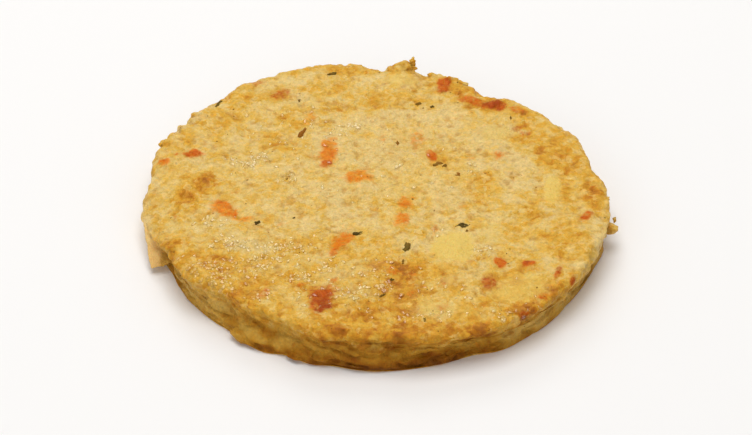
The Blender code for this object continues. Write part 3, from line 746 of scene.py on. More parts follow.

# %% [markdown]
# ## Where each colour goes
#
# On a real patty colour follows what is under the crust and how long the spot touched the hot fat. Where
# the surface dips it is also painted darker, as painted shade. Painting a picture would do, but it would
# blur when seen close. Instead each cause, and the painted shade, becomes a number on every point, an
# attribute, and the material turns these numbers into colour with fine noise of its own.

# %% Toasted and pale patches, and painted shadows
# Patches that took more heat, or less where negative, and painted shadows: x, y, length, width, turn, amount
TOASTED_AND_SHADOW = (
    (-22, 15, 15, 8, 5, 0.18), (-37, 34, 12, 7, 50, 0.14), (-29, 36.5, 8, 6, 40, 0.14),
    (-6, 47.5, 13, 6, 0, 0.2), (-17, 47, 9, 4, 5, 0.2), (6, 46, 10, 6, 10, 0.06),
    (5, 34.5, 30, 8, 0, 0.2), (-5, 29.5, 12, 5, 0, 0.12), (16, 39.8, 13, 6, -30, 0.22),
    (25, 33.5, 16, 6, -28, 0.3), (-38, 4.5, 5, 9, -12, 0.3), (-43, -0.5, 4.5, 5.5, 0, 0.46),
    (-14, -5, 8, 5, 10, 0.18), (-36, -20, 14, 10, -40, 0.14), (-46, -17, 5, 14, 15, 0.18),
    (43, 9, 8, 16, 15, 0.14), (40, -13, 12, 16, 0, 0.18), (46.5, 0, 4, 12, 0, 0.2),
    (36.5, 14, 12, 12, 0, 0.1), (20, 14, 10, 4, 5, 0.14), (3, -27, 11, 8, 0, 0.2),
    (-12, -32, 12, 12, 0, 0.1), (-4, -46, 24, 5, 0, 0.04), (13, -46, 18, 5, 4, 0.14),
    (27, -41.5, 16, 6, 30, 0.04), (36, -34.5, 9, 6, 45, 0.16), (-18, -43.5, 20, 5, -22, -0.1),
    (-33, -34, 12, 5, -38, 0.08), (-23.5, 38, 9, 6, 40, 0.26), (8.5, 21, 7, 9, 0, 0.14),
    (32, 20, 5, 4, 0, 0.26), (32.5, 24.5, 4, 3, 0, 0.26), (12.5, 12, 5, 6, 0, 0.18),
    (25, -29.5, 8, 6, 0, 0.24), (-9, -17, 7, 10, -20, 0.12), (34, -7, 5, 4, 0, 0.3),
    (15, -5.7, 3, 2.4, 0, 0.26), (-26, -33, 9, 7, 0, 0.07), (20.5, -47.5, 8, 4, 0, 0.26),
    # Painted shadows: the first row below, under the potato lump, and the third, along the front lip
    (18, -24.2, 7, 1.8, 25, 0.26), (-49.5, -11.5, 3, 4.5, 0, 0.24), (-5, -46.8, 8, 2.4, 0, 0.12),
    # Painted shadow: the first row below, a line along the front lip
    (0, -48.6, 16, 3, 0, 0.26), (6, -38.5, 12, 7, 0, 0.18), (4, -33, 14, 8, 0, 0.07),
    (30, -32.5, 12, 9, 0, 0.06), (-11.9, -49, 1.7, 1.7, 0, 0.8),
)
# Patches that stayed pale: fish flakes and potato, in the same order
PALE = (
    (0, 15, 30, 20, 10, 0.55), (-6, 4, 26, 12, -5, 0.5), (13, 3, 18, 12, 10, 0.5),
    (-30, 9, 12, 8, 0, 0.4), (-42, 9, 8, 5, 20, 0.4), (25.5, 22.5, 9, 7, 20, 0.8),
    (5, 41.5, 9, 6, 0, 0.55), (-26.5, 38.5, 5, 6, 30, 0.6), (12, -39, 12, 8, 0, 0.6),
    (0, -11, 20, 7, 0, 0.45), (-4, -26, 10, 6, 0, 0.4), (23.5, -13.5, 8, 12, -10, 0.55),
    (16, -19, 12.5, 10, 78, 1), (30, -32.5, 14, 9, 25, 0.3), (38, 2, 4, 12, 10, 0.75),
    (-12, -28, 5, 8, 0, 0.3), (20, 19, 10, 8, 0, 0.45), (44.3, -4, 3, 3.6, 0, 0.7),
    (22, -41, 5, 4, 30, 0.55), (-27, 31, 7, 5, 40, 0.35), (-22, -3, 18, 7, 8, 0.35),
    (18, -29, 14, 6, 15, 0.55), (-40, -12, 6, 9, 0, 0.4), (-47, -12, 4, 7, 10, 0.3),
    (34, -17, 8, 6, 0, 0.22), (-4, -34, 8, 6, 0, 0.3), (-18, 33, 10, 6, 10, 0.25),
)
print("toasted patches:", len(TOASTED_AND_SHADOW), "pale patches:", len(PALE))

# %% Browning of the top, with painted shadows
PATCH_WANDER = ((0.30, 4.5, 31), (0.22, 2.0, 32))
PATCH_EDGE = (1.5, 0.25)
RIM_RADII = (33.0, 49.0)
FRONT_PLACES = (-5.0, -45.0)
FAR_RIGHT_X = (-4.75, 25.25)
FAR_RIGHT_Y = (-14.0, 8.0)
TOP_BROWN = 0.18
RIM_BROWN = 0.05
FAR_RIGHT_BROWN = 0.14
FRONT_BROWN = 0.25
STREAKS = ((0.18, 7.5, 41), (0.17, 3.4, 42), (0.17, 1.5, 43))
STREAK_STRETCH = np.array((0.9, 1.0, 1.0))
PALE_EFFECT = 0.5


def soft_patches(at, rows):
    """Adds up wide soft patches whose edges wander."""
    edge = layered(flattened(at), PATCH_WANDER)
    total = np.zeros(len(at))
    for x, y, length, width, turn, amount in rows:
        away = np.hypot(*oval_place(at, x, y, length, width, turn)) + edge
        total += amount * between(away, *PATCH_EDGE)
    return total


rim = between(from_middle, *RIM_RADII)
front = between(points[:, 1], *FRONT_PLACES)
far_right = rim * between(points[:, 0], *FAR_RIGHT_X) * between(points[:, 1], *FAR_RIGHT_Y)
browning = TOP_BROWN + RIM_BROWN * rim + FAR_RIGHT_BROWN * far_right + FRONT_BROWN * front
browning += layered(flat_points * STREAK_STRETCH, STREAKS)
pale_cover = np.clip(soft_patches(points, PALE), 0.0, 1.0)
# Browning here also takes in the painted shadows of that table
browning = browning * (1.0 - PALE_EFFECT * pale_cover) + soft_patches(points, TOASTED_AND_SHADOW)
print("browning of the top, mean:", round(float(browning[upward > 0.5].mean()), 3))

# %% Blotches of the wall, and a painted shadow line under the lip
WALL_WANDER = ((0.35, 2.6, 57), (0.25, 1.2, 58))
# Blotches of the wall and a painted shadow line under the lip: angle, height, half width in degrees,
# half height, amount (negative is paler)
WALL_PATCHES_AND_SHADE = (
    (231, 4, 5, 3, 0.08), (235.5, 7.6, 3.6, 1.3, 0.12), (234, 4.8, 5.5, 0.9, 0.19),
    (238.5, 4, 2.6, 0.8, 0.18), (236, 0.8, 5.5, 1.4, 0.14), (245, 0.8, 6, 1.3, 0.14),
    (226.5, 2.6, 3.4, 1.8, 0.2), (228, 6.8, 2.4, 1.6, 0.14), (222, 7.8, 1.6, 0.8, 0.18),
    (245.5, 7.4, 6.5, 0.7, 0.12), (249.5, 3.4, 2.6, 1, 0.12), (254, 3, 5, 1.6, -0.08),
    (255, 7, 3.2, 1.2, 0.2), (255.3, 7.1, 0.8, 0.5, 0.6), (258.6, 7.2, 0.4, 0.3, 0.5),
    # Painted shadow line under the overhanging lip: the last row below and the first row of the next line
    (259.5, 6.2, 3.2, 1.6, -0.05), (269, 6.6, 5.5, 1.4, 0.2), (274, 7.3, 7, 0.7, 0.18),
    (286, 7.2, 7, 0.8, 0.19), (262, 2.4, 5, 1.6, 0.1), (272, 1.2, 9, 1.5, 0.14),
    (281, 3.8, 6, 1.2, -0.07), (288, 1.2, 7, 1.5, 0.16), (296, 6, 4, 1.6, 0.44),
    (300.5, 3.4, 2.6, 1.6, 0.13), (306, 4.6, 4, 1.8, -0.03), (303, 1, 7, 1.2, 0.13),
    (312, 5.4, 5, 0.8, 0.12), (322, 6.2, 6, 0.7, 0.13), (331.5, 7, 3, 1.2, 0.2), (212, 3.6, 4, 2, -0.08),
    (219, 6, 4, 1.8, -0.12), (238.5, 2.6, 4.5, 1.6, 0.1), (268.5, 6.4, 5, 1.2, 0.16),
)


def wall_patches_and_shade(at, degrees):
    """Adds up the wall's patches and the painted shadow line under the lip, whose edges wander."""
    edge = layered(at, WALL_WANDER)
    total = np.zeros(len(at))
    for angle, height, half_angle, half_height, amount in WALL_PATCHES_AND_SHADE:
        away = np.hypot((degrees - angle) / half_angle, (at[:, 2] - height) / half_height) + edge
        total += amount * between(away, *PATCH_EDGE)
    return total


degrees = np.degrees(np.arctan2(points[:, 1] - CENTRE_Y, points[:, 0] - CENTRE_X)) % 360.0
patches_and_shade = wall_patches_and_shade(points, degrees)
print("strongest blotch:", round(float(patches_and_shade.max()), 2))

# %% Browning of the wall and the base, with the wall's painted shadow line
WALL_BROWN = 0.11
WALL_FRONT_BROWN = 0.39
FRONT_ANGLE = 272.0
WALL_FRONT_SPREAD = 30.0
LOW_WALL_BROWN = 0.10
LOW_WALL_HEIGHTS = (5.5, 0.0)
FOOT_BROWN = 0.18
FOOT_HEIGHT = 1.8
# Each row: strength, size, seed, how much the noise is squeezed round the wall and up it
WALL_STREAKS = ((0.11, 2.6, 51, 0.5, 1.2), (0.08, 1.3, 53, 1.0, 1.0), (0.10, 5.5, 52, 0.4, 1.0))
BASE_BROWN = 0.46
BASE_RIM_BROWN = 0.1
BASE_BLOTCHES = ((0.15, 7.0, 55), (0.12, 2.6, 56))

from_front = np.abs((degrees - FRONT_ANGLE + 180.0) % 360.0 - 180.0)
wall_tone = WALL_BROWN + WALL_FRONT_BROWN * np.exp(-((from_front / WALL_FRONT_SPREAD) ** 2))
wall_tone += patches_and_shade
for strength, size, seed, round_wall, up_wall in WALL_STREAKS:
    wall_tone += strength * field(points * np.array((round_wall, round_wall, up_wall)), size, seed)
wall_tone += FOOT_BROWN * np.exp(-((points[:, 2] / FOOT_HEIGHT) ** 2))
wall_tone += LOW_WALL_BROWN * between(points[:, 2], *LOW_WALL_HEIGHTS)
base_tone = BASE_BROWN + layered(flat_points, BASE_BLOTCHES) + BASE_RIM_BROWN * rim
tone = np.where(on_base, base_tone, browning)
print("browning of the base, mean:", round(float(base_tone[on_base].mean()), 3))

# %% Where the top's colours end and the wall's begin
# Each pair: where a share is still 0, where it has reached 1
TOP_FACE_TILTS, TOP_FACE_HEIGHTS = (-0.05, 0.50), (4.5, 7.0)
FLAP_X, FLAP_Y = (-46.6, -48.6), (6.0, 0.0)
# The flap's crust is pale, and painted lighter still towards its hanging end: painted light against its
# shade
FLAP_PALE_AND_LIGHT_HEIGHTS = (6.6, 4.2)
FLAP_RIM_PALE_AND_LIGHT = 0.06
FLAP_CRUST = 0.9
CRAG_CRUST, CRAG_HEIGHTS = 0.9, (4.0, 6.0)
LIP_CRUST, LIP_HEIGHTS = 0.85, (5.4, 8.8)
LIP_WANDER = ((1.3, 3.2, 59), (0.7, 1.4, 60))
FAR_WALL_Y, FAR_WALL_HEIGHTS = (8.0, 16.0), (5.5, 7.0)

heights = points[:, 2]
flap_share = between(points[:, 0], *FLAP_X) * between(points[:, 1], *FLAP_Y)
flap_pale_and_painted_light = flap_share * (FLAP_RIM_PALE_AND_LIGHT + (1.0 - FLAP_RIM_PALE_AND_LIGHT) * between(heights, *FLAP_PALE_AND_LIGHT_HEIGHTS))
top_share = np.max((
    between(normals[:, 2], *TOP_FACE_TILTS) * between(heights, *TOP_FACE_HEIGHTS),
    FLAP_CRUST * flap_share,
    CRAG_CRUST * on_crag * between(heights, *CRAG_HEIGHTS),
    LIP_CRUST * between(heights + layered(points, LIP_WANDER), *LIP_HEIGHTS),
    between(points[:, 1], *FAR_WALL_Y) * between(heights, *FAR_WALL_HEIGHTS),
), axis=0)
side = (1.0 - top_share) * off_base
print("wall tone, mean:", round(float(wall_tone[side > 0.5].mean()), 3))

# %% Grey fish, painted shade in dips, and wet places
# Both tables: x, y, length, width, turn, amount
GREY = (
    (2, 16, 22, 12, 10, 0.55), (-5, 0, 18, 9, 0, 0.5), (15, 1, 12, 14, 0, 0.5), (26, 23, 9, 6, 20, 0.95),
    (6, 42, 8, 5, 0, 0.45), (13, -40, 10, 7, 0, 0.65), (-25, -16, 16, 7, 10, 0.35),
    (18, -30, 12, 6, 15, 0.5), (-6, -12.5, 6, 4, 0, 0.75), (24, -14, 6, 9, -10, 0.4),
    (-30, -2, 12, 6, 0, 0.3), (-47, -10, 3, 9, 12, 0.3), (-2, -27, 9, 6, 0, 0.35),
    (-27, 38, 5, 5, 0, 0.45), (44.2, -4, 3, 3, 0, 0.6), (-42.5, -1.5, 3, 3.6, 0, 0.35),
    (-40, -7, 6, 4, 0, 0.4),
)
WET = (
    (-24, -24, 40, 24, -10, 0.08), (-4, -34, 40, 16, 0, 0.14), (-22, 20, 28, 24, 0, 0.05),
    (24, -36, 24, 12, 10, 0.05), (4, 6, 40, 24, 0, 0.03), (-32.5, -17.5, 8, 5, 10, 1),
    (-20.5, -18.5, 10, 3.5, -5, 1), (-26, -23.5, 10, 5, 20, 0.8), (-26.5, 13.5, 5, 5, 20, 1),
    (-30, 11, 7, 3, 0, 0.7), (-12, -25.5, 4, 3, 0, 1), (-1, -28, 6, 3.5, 0, 1), (1, -32.5, 3, 4, 0, 1),
    (-14, 26, 5, 4, 45, 0.9), (-8, 24, 7, 4, 10, 0.7), (12, -12.5, 2, 3, 0, 1), (-4, -35.5, 9, 4, 0, 0.6),
    (-34, -32.5, 7, 4, -30, 0.8), (-35, -26, 12, 7, 0, 0.6), (-20, 5, 5, 8, 10, 0.6),
    (-18, -28, 6, 4, 0, 0.6), (20, 9, 3, 4, 0, 0.6), (7, -42, 14, 4, 0, 0.5), (22, -19, 5, 7, 0, 0.5),
    (-36, -10, 7, 5, 0, 0.5), (28, -41, 5, 3, 20, 0.6),
)
# Painted shade: the crust is darkened in the dips of its grain and along the furrows, less on the flap
DIP_SHADE_DEPTH = 0.25
FURROW_SHADE = 0.3
FLAP_SMOOTHNESS = 0.7

grey_cover = np.clip(soft_patches(points, GREY), 0.0, 1.0) * top_share
wet_cover = np.clip(soft_patches(points, WET), 0.0, 1.0) * upward
dip_shade = np.clip(-layered(points, TOP_GRAIN) / DIP_SHADE_DEPTH, 0.0, 1.0) * calm + FURROW_SHADE * furrow
dip_shade = np.clip(dip_shade, 0.0, 1.0) * (1.0 - FLAP_SMOOTHNESS * flap_pale_and_painted_light)
print("wet share of the top:", round(float(wet_cover[upward > 0.5].mean()), 3))

# %% Store the numbers on the points
PEPPER_ON_WALL = 0.4


def store(obj, name, values):
    """Writes one number per point as an attribute of the mesh."""
    numbers = obj.data.attributes.new(name, "FLOAT", "POINT")
    numbers.data.foreach_set("value", np.asarray(values, np.float32))


causes = {
    "tone": tone,
    "wall_tone": wall_tone,
    "side": side,
    "pale": pale_cover * top_share,
    "potato": potato_cover,
    # The flap's pale crust, with painted light on its hanging end
    "flap": flap_pale_and_painted_light,
    "carrot": carrot_shown,
    "carrot_depth": carrot_depth,
    "grey": grey_cover,
    "wet": wet_cover,
    "dip_shade": dip_shade,
    "peppered": off_base * (PEPPER_ON_WALL + (1.0 - PEPPER_ON_WALL) * upward),
}
for name, values in causes.items():
    store(patty, name, values)
print("attributes:", list(causes))

# %% [markdown]
# ## The fried crust material
#
# Crust is not one colour: it runs from pale cream over gold and amber to brown, with orange dice, grey fish
# and glossy wet spots. Several materials on one mesh would leave hard borders. One Principled shader fed by
# colour ramps keeps them soft: the attributes say roughly where, and fine noise breaks their edges.

# %% Helpers for building node trees


def colour(red, green, blue):
    """A linear colour from the 0 to 255 values that the eye reads off a screen."""
    linear = []
    for value in (red, green, blue):
        value /= 255.0
        linear.append(value / 12.92 if value <= 0.04045 else ((value + 0.055) / 1.055) ** 2.4)
    return (*linear, 1.0)


def start_material(name):
    """An empty Principled material: the material, its node tree, its shader."""
    material = bpy.data.materials.new(name)
    material.use_nodes = True
    tree = material.node_tree
    return material, tree, tree.nodes["Principled BSDF"]


def feed(tree, socket, value):
    """Feeds a node's input from another node's output, or sets it to a number or colour."""
    if isinstance(value, bpy.types.NodeSocket):
        tree.links.new(value, socket)
    else:
        socket.default_value = value


def add_node(tree, kind, inputs, **settings):
    """A new node with its settings and with what goes into its inputs."""
    node = tree.nodes.new(kind)
    for name, value in settings.items():
        setattr(node, name, value)
    for name, value in inputs.items():
        feed(tree, node.inputs[name], value)
    return node


def of_kind(sockets, kind):
    """The sockets of one kind. Some nodes have several sockets of one name, for different kinds of value."""
    return [socket for socket in sockets if socket.type == kind]


def maths(tree, operation, *values):
    """A Math node's result."""
    return add_node(tree, "ShaderNodeMath", dict(enumerate(values)), operation=operation).outputs[0]


def attribute(tree, name):
    """The number that store() wrote on the mesh."""
    return add_node(tree, "ShaderNodeAttribute", {}, attribute_name=name).outputs["Fac"]


def noise_value(tree, place, size, detail=2.0, distortion=0.0):
    """Noise whose bumps are about size millimetres across, from 0 to 1."""
    inputs = {"Vector": place, "Scale": 1.0 / (size * MM), "Detail": detail, "Distortion": distortion}
    return add_node(tree, "ShaderNodeTexNoise", inputs).outputs["Fac"]


def ramp(tree, value, stops):
    """A Color Ramp over (position, colour) stops."""
    node = add_node(tree, "ShaderNodeValToRGB", {"Fac": value})
    elements = node.color_ramp.elements
    while len(elements) < len(stops):
        elements.new(0.5)
    for element, (position, shade) in zip(elements, stops):
        element.position = position
        element.color = shade
    return node.outputs["Color"]


def blend(tree, share, low, high, mode="MIX"):
    """Mixes two colours by a share."""
    node = add_node(tree, "ShaderNodeMix", {"Factor": share}, data_type="RGBA", blend_type=mode)
    for socket, value in zip(of_kind(node.inputs, "RGBA"), (low, high)):
        feed(tree, socket, value)
    return of_kind(node.outputs, "RGBA")[0]


def span(tree, value, low, high, to_low=0.0, to_high=1.0):
    """Maps a value smoothly from one range to another."""
    inputs = {"Value": value, "From Min": low, "From Max": high, "To Min": to_low, "To Max": to_high}
    return add_node(tree, "ShaderNodeMapRange", inputs, interpolation_type="SMOOTHSTEP").outputs["Result"]


def object_place(tree):
    """Object coordinates, in metres."""
    return tree.nodes.new("ShaderNodeTexCoord").outputs["Object"]


def wobble(tree, value, pattern, amount):
    """Adds a noise pattern, centred on zero, to a value."""
    centred = maths(tree, "SUBTRACT", pattern, 0.5)
    return maths(tree, "ADD", value, maths(tree, "MULTIPLY", centred, amount))


print("half grey of a screen, as a linear colour:", colour(128, 128, 128))

# %% Crust: patterns
# Each row: size, detail, distortion
COARSE_PATTERN = (2.8, 3.0, 1.2)
FINE_PATTERN = (0.95, 2.0, 0.6)
MICRO_PATTERN = (0.52, 1.0, 0.0)
SHRED_SIZE = 1.2
SHRED_WANDER = 1.8

crust, tree, shader = start_material("fried_crust")
place = object_place(tree)
coarse = noise_value(tree, place, *COARSE_PATTERN)
fine = noise_value(tree, place, *FINE_PATTERN)
micro = noise_value(tree, place, *MICRO_PATTERN)


def shreds(tree, place, size, wander):
    """Two random numbers for each shred of fish. Shreds are of about one size, with wandering borders."""
    scale = 1.0 / (size * MM)
    warp = add_node(tree, "ShaderNodeTexNoise", {"Vector": place, "Scale": scale})
    steps = {0: warp.outputs["Color"], 1: (wander * size * MM,) * 3, 2: place}
    moved = add_node(tree, "ShaderNodeVectorMath", steps, operation="MULTIPLY_ADD")
    cells = add_node(tree, "ShaderNodeTexVoronoi", {"Vector": moved.outputs["Vector"], "Scale": scale})
    parts = add_node(tree, "ShaderNodeSeparateColor", {0: cells.outputs["Color"]})
    return parts.outputs[0], parts.outputs[1]


shred_tone, shred_grey = shreds(tree, place, SHRED_SIZE, SHRED_WANDER)
print("pattern nodes:", len(tree.nodes))

# %% Crust: gold of the top, khaki of the wall
TOP_COARSE, TOP_SHREDS, TOP_FINE = 0.60, 0.20, 0.06
WALL_COARSE, WALL_FINE = 0.30, 0.22

tone_now = wobble(tree, attribute(tree, "tone"), coarse, TOP_COARSE)
tone_now = wobble(tree, wobble(tree, tone_now, shred_tone, TOP_SHREDS), fine, TOP_FINE)
top_colour = ramp(tree, tone_now, (
    (0.00, colour(224, 193, 124)),
    (0.15, colour(222, 186, 104)),
    (0.30, colour(220, 175, 76)),
    (0.45, colour(215, 161, 52)),
    (0.58, colour(204, 142, 38)),
    (0.70, colour(187, 120, 28)),
    (0.84, colour(166, 99, 22)),
    (1.00, colour(138, 78, 16)),
))
wall_now = wobble(tree, wobble(tree, attribute(tree, "wall_tone"), coarse, WALL_COARSE), fine, WALL_FINE)
wall_colour = ramp(tree, wall_now, (
    (0.00, colour(212, 173, 90)),
    (0.25, colour(198, 153, 62)),
    (0.45, colour(180, 127, 34)),
    (0.65, colour(150, 92, 12)),
    (0.85, colour(112, 62, 5)),
    (1.00, colour(80, 42, 4)),
))
print("crust nodes so far:", len(tree.nodes))

# %% Crust: pale fish, potato, the flap's pale crust and painted light, and wall
# Each span: lowest and highest number in, then what they become
PALE_STRENGTH, PALE_COLOUR = 0.35, colour(228, 196, 116)
GREY_COARSE, GREY_FINE = 0.8, 0.4
GREY_SPAN, GREY_COLOUR = (0.15, 0.95, 0.0, 0.50), colour(208, 176, 114)
FLECK_SPAN, FLECK_COLOUR = (0.72, 0.90, 0.0, 0.34), colour(234, 206, 136)
FLECKS_BY_TONE = (0.42, 0.66, 1.0, 0.1)
POTATO_STRENGTH, POTATO_COLOUR = 0.80, colour(230, 196, 98)
# The flap: pale crust, with painted light against the shade of its hanging end
FLAP_PALE_AND_LIGHT_STRENGTH, FLAP_PALE_AND_LIGHT_COLOUR = 0.62, colour(240, 204, 140)

grey_now = wobble(tree, wobble(tree, attribute(tree, "grey"), coarse, GREY_COARSE), fine, GREY_FINE)
fleck_share = span(tree, shred_grey, *FLECK_SPAN)
layers = (
    (maths(tree, "MULTIPLY", attribute(tree, "pale"), PALE_STRENGTH), PALE_COLOUR),
    (span(tree, grey_now, *GREY_SPAN), GREY_COLOUR),
    (maths(tree, "MULTIPLY", fleck_share, span(tree, tone_now, *FLECKS_BY_TONE)), FLECK_COLOUR),
    (maths(tree, "MULTIPLY", attribute(tree, "potato"), POTATO_STRENGTH), POTATO_COLOUR),
    (maths(tree, "MULTIPLY", attribute(tree, "flap"), FLAP_PALE_AND_LIGHT_STRENGTH), FLAP_PALE_AND_LIGHT_COLOUR),
    (attribute(tree, "side"), wall_colour),
)
crust_colour = top_colour
for strength, shade in layers:
    crust_colour = blend(tree, strength, crust_colour, shade)
print("crust nodes so far:", len(tree.nodes))

# %% Crust: carrot, painted shade in dips, and grain
CARROT_FINE = 1.0
CARROT_SPAN = (0.05, 0.95, 0.0, 0.95)
CARROT_DEPTH_COARSE, CARROT_DEPTH_FINE = 1.0, 0.6
DIP_SHADE_SPAN, DIP_SHADE_COLOUR = (0.1, 1.0, 0.0, 0.60), colour(216, 184, 130)
GRAIN_FINE, GRAIN_MICRO = 0.62, 0.26
GRAIN_LOST = -0.75

carrot_share = span(tree, wobble(tree, attribute(tree, "carrot"), fine, CARROT_FINE), *CARROT_SPAN)
carrot_now = wobble(tree, attribute(tree, "carrot_depth"), coarse, CARROT_DEPTH_COARSE)
carrot_colour = ramp(tree, wobble(tree, carrot_now, fine, CARROT_DEPTH_FINE), (
    (0.05, colour(226, 150, 40)),
    (0.35, colour(220, 122, 14)),
    (0.65, colour(198, 88, 2)),
    (0.95, colour(160, 58, 0)),
))
crust_colour = blend(tree, carrot_share, crust_colour, carrot_colour)
# Painted shade: the dips and furrows are multiplied darker
dip_shade_share = span(tree, attribute(tree, "dip_shade"), *DIP_SHADE_SPAN)
crust_colour = blend(tree, dip_shade_share, crust_colour, DIP_SHADE_COLOUR, "MULTIPLY")
grain_light = wobble(tree, wobble(tree, 1.0, fine, GRAIN_FINE), micro, GRAIN_MICRO)
grain_colour = add_node(tree, "ShaderNodeCombineColor", dict.fromkeys(range(3), grain_light)).outputs[0]
# Potato and the flap are smooth, so they lose most of the grain
smooth_share = maths(tree, "MAXIMUM", attribute(tree, "potato"), attribute(tree, "flap"))
grain_share = maths(tree, "ADD", maths(tree, "MULTIPLY", smooth_share, GRAIN_LOST), 1.0)
crust_colour = blend(tree, grain_share, crust_colour, grain_colour, "MULTIPLY")
feed(tree, shader.inputs["Base Color"], crust_colour)
print("crust nodes so far:", len(tree.nodes))

# %% Crust: gloss and bump
WET_FINE = 0.6
GLOSS_SPAN, GLOSS_COARSE = (0.10, 0.70, 0.45, 0.25), 0.20
CRUST_SPECULAR = 0.09
CRUST_SUBSURFACE = 0.12
CRUST_GLOW_RADIUS = (1.0, 0.5, 0.2)
CRUST_GLOW_DEPTH = 1.2
BUBBLE_SIZE, BUBBLE_SPAN = 0.90, (0.10, 0.70, 0.35, 1.0)
MICRO_HEIGHT, COARSE_HEIGHT = 0.6, 1.6
BUMP_HEIGHT = 0.31

wet_edge = wobble(tree, attribute(tree, "wet"), fine, WET_FINE)
feed(tree, shader.inputs["Roughness"], wobble(tree, span(tree, wet_edge, *GLOSS_SPAN), coarse, GLOSS_COARSE))
shader.inputs["Specular IOR Level"].default_value = CRUST_SPECULAR
shader.inputs["Subsurface Weight"].default_value = CRUST_SUBSURFACE
shader.inputs["Subsurface Radius"].default_value = CRUST_GLOW_RADIUS
shader.inputs["Subsurface Scale"].default_value = CRUST_GLOW_DEPTH * MM
bubble_inputs = {"Vector": place, "Scale": 1.0 / (BUBBLE_SIZE * MM)}
bubbles = add_node(tree, "ShaderNodeTexVoronoi", bubble_inputs, feature="SMOOTH_F1")
bubble_height = maths(tree, "MULTIPLY", bubbles.outputs["Distance"], span(tree, wet_edge, *BUBBLE_SPAN))
height = maths(tree, "ADD", fine, maths(tree, "MULTIPLY", micro, MICRO_HEIGHT))
height = maths(tree, "ADD", height, bubble_height)
height = maths(tree, "ADD", height, maths(tree, "MULTIPLY", coarse, COARSE_HEIGHT))
raised = add_node(tree, "ShaderNodeBump", {"Strength": 1.0, "Distance": BUMP_HEIGHT * MM, "Height": height})
feed(tree, shader.inputs["Normal"], raised.outputs["Normal"])
patty.data.materials.clear()
patty.data.materials.append(crust)
patty.data.shade_smooth()
print("crust nodes:", len(tree.nodes))

# %% [markdown]
# ## Herb scraps
#
# Chopped parsley and bits of stalk lie in the crust, some almost black from the fat. A flat uneven ball,
# sunk so that only its back shows, gives each a crisp dark shape that a colour on the surface would lose.

# %% Where the herb scraps lie
# Each row: x, y, length, width, turn, how far it stands proud, how brown it is
HERBS = (
    (-11.5, 44, 3.2, 1.4, 35, 0.3, 0.35), (-36.2, 34, 4.2, 1.2, 60, 0.14, 0.3),
    (-17.2, 22.4, 3.6, 1.5, 70, 0.3, 0.95), (12.6, 11, 2.6, 1.7, 10, 0.3, 0.75),
    (17.2, 7.3, 2, 1.4, 0, 0.25, 0.9), (-4.5, -13.4, 2.7, 1.8, 15, 0.35, 0.05),
    (18.2, -11, 2.8, 1.6, -5, 0.35, 0.1), (5.8, -18.6, 4.8, 2.3, 85, 0.35, 0.4),
    (8.8, 33.8, 1.8, 1.2, 60, 0.25, 0.55), (-26.7, -10.2, 1.3, 1.1, 0, 0.35, 0.05),
    (-18.2, 35.2, 1.5, 0.8, 70, 0.25, 0.5), (29.5, 28, 1.6, 0.7, 85, 0.25, 0.55),
    (4, 19, 2, 0.8, -60, 0.25, 0.85), (5, -24, 1.8, 0.7, 80, 0.2, 0.6),
    (9.5, -43.5, 2.2, 0.7, 85, 0.25, 0.3), (19, -13, 0.9, 0.7, 0, 0.25, 0.7),
    (14.2, 10.4, 1.4, 0.8, 30, 0.25, 0.65), (11.8, 32.7, 0.9, 0.7, 0, 0.25, 0.2),
    (2.5, -30.2, 1.4, 0.8, 20, 0.2, 0.3), (0.6, -35, 1.7, 0.7, 30, 0.2, 0.5),
    (-20.6, 6, 1.1, 0.7, 60, 0.2, 0.5), (-18.8, -8.2, 0.7, 0.6, 0, 0.25, 0.15),
    (7.3, -1.4, 0.7, 0.6, 0, 0.25, 0.3),
)
HERB_DEPTH = 0.9
HERB_ROUGHNESS = 0.60
HERB_GRAIN = 0.30
HERB_SEED = 60

herb_parts = []
for number, (x, y, length, width, turn, proud, brown) in enumerate(HERBS):
    scrap = rough_ball("scrap", HERB_ROUGHNESS, HERB_GRAIN, HERB_SEED + number)
    put(scrap, (x, y, top_height(x, y) + proud - HERB_DEPTH), (length / 2, width / 2, HERB_DEPTH), turn)
    store(scrap, "brown", [brown] * len(scrap.data.vertices))
    herb_parts.append(scrap)


def join_meshes(name, parts):
    """One mesh object out of several, which are removed."""
    whole = bmesh.new()
    for part in parts:
        whole.from_mesh(part.data)
        bpy.data.objects.remove(part, do_unlink=True)
    mesh = bpy.data.meshes.new(name)
    whole.to_mesh(mesh)
    whole.free()
    obj = bpy.data.objects.new(name, mesh)
    bpy.context.scene.collection.objects.link(obj)
    mesh.shade_smooth()
    return obj


herb_scraps = join_meshes("herb_scraps", herb_parts)
print("herb scraps:", len(HERBS), "triangles:", triangle_count(herb_scraps))

# %% Herb leaf material
LEAF_PATTERN = (0.8, 3.0)
LEAF_MOTTLE = 0.8
LEAF_ROUGHNESS = 0.55
DULL_SPECULAR = 0.08

herb_green, tree, shader = start_material("herb_leaf")
place = object_place(tree)
leaf_now = wobble(tree, attribute(tree, "brown"), noise_value(tree, place, *LEAF_PATTERN), LEAF_MOTTLE)
leaf_colour = ramp(tree, leaf_now, (
    (0.05, colour(84, 68, 26)),
    (0.35, colour(112, 90, 32)),
    (0.65, colour(140, 102, 34)),
    (0.95, colour(152, 94, 24)),
))
feed(tree, shader.inputs["Base Color"], leaf_colour)
shader.inputs["Roughness"].default_value = LEAF_ROUGHNESS
shader.inputs["Specular IOR Level"].default_value = DULL_SPECULAR
herb_scraps.data.materials.append(herb_green)
print("leaf nodes:", len(tree.nodes))

# %% [markdown]
# ## Pepper specks and oil beads
#
# Ground pepper is scattered all over, and tiny beads of frying oil stand on the wet places, where they
# catch the light. Nobody would place them by hand. Geometry Nodes scatter points over the patty's own
# surface, with a fixed seed, put a small shape on each one, and end in real mesh that can be exported.

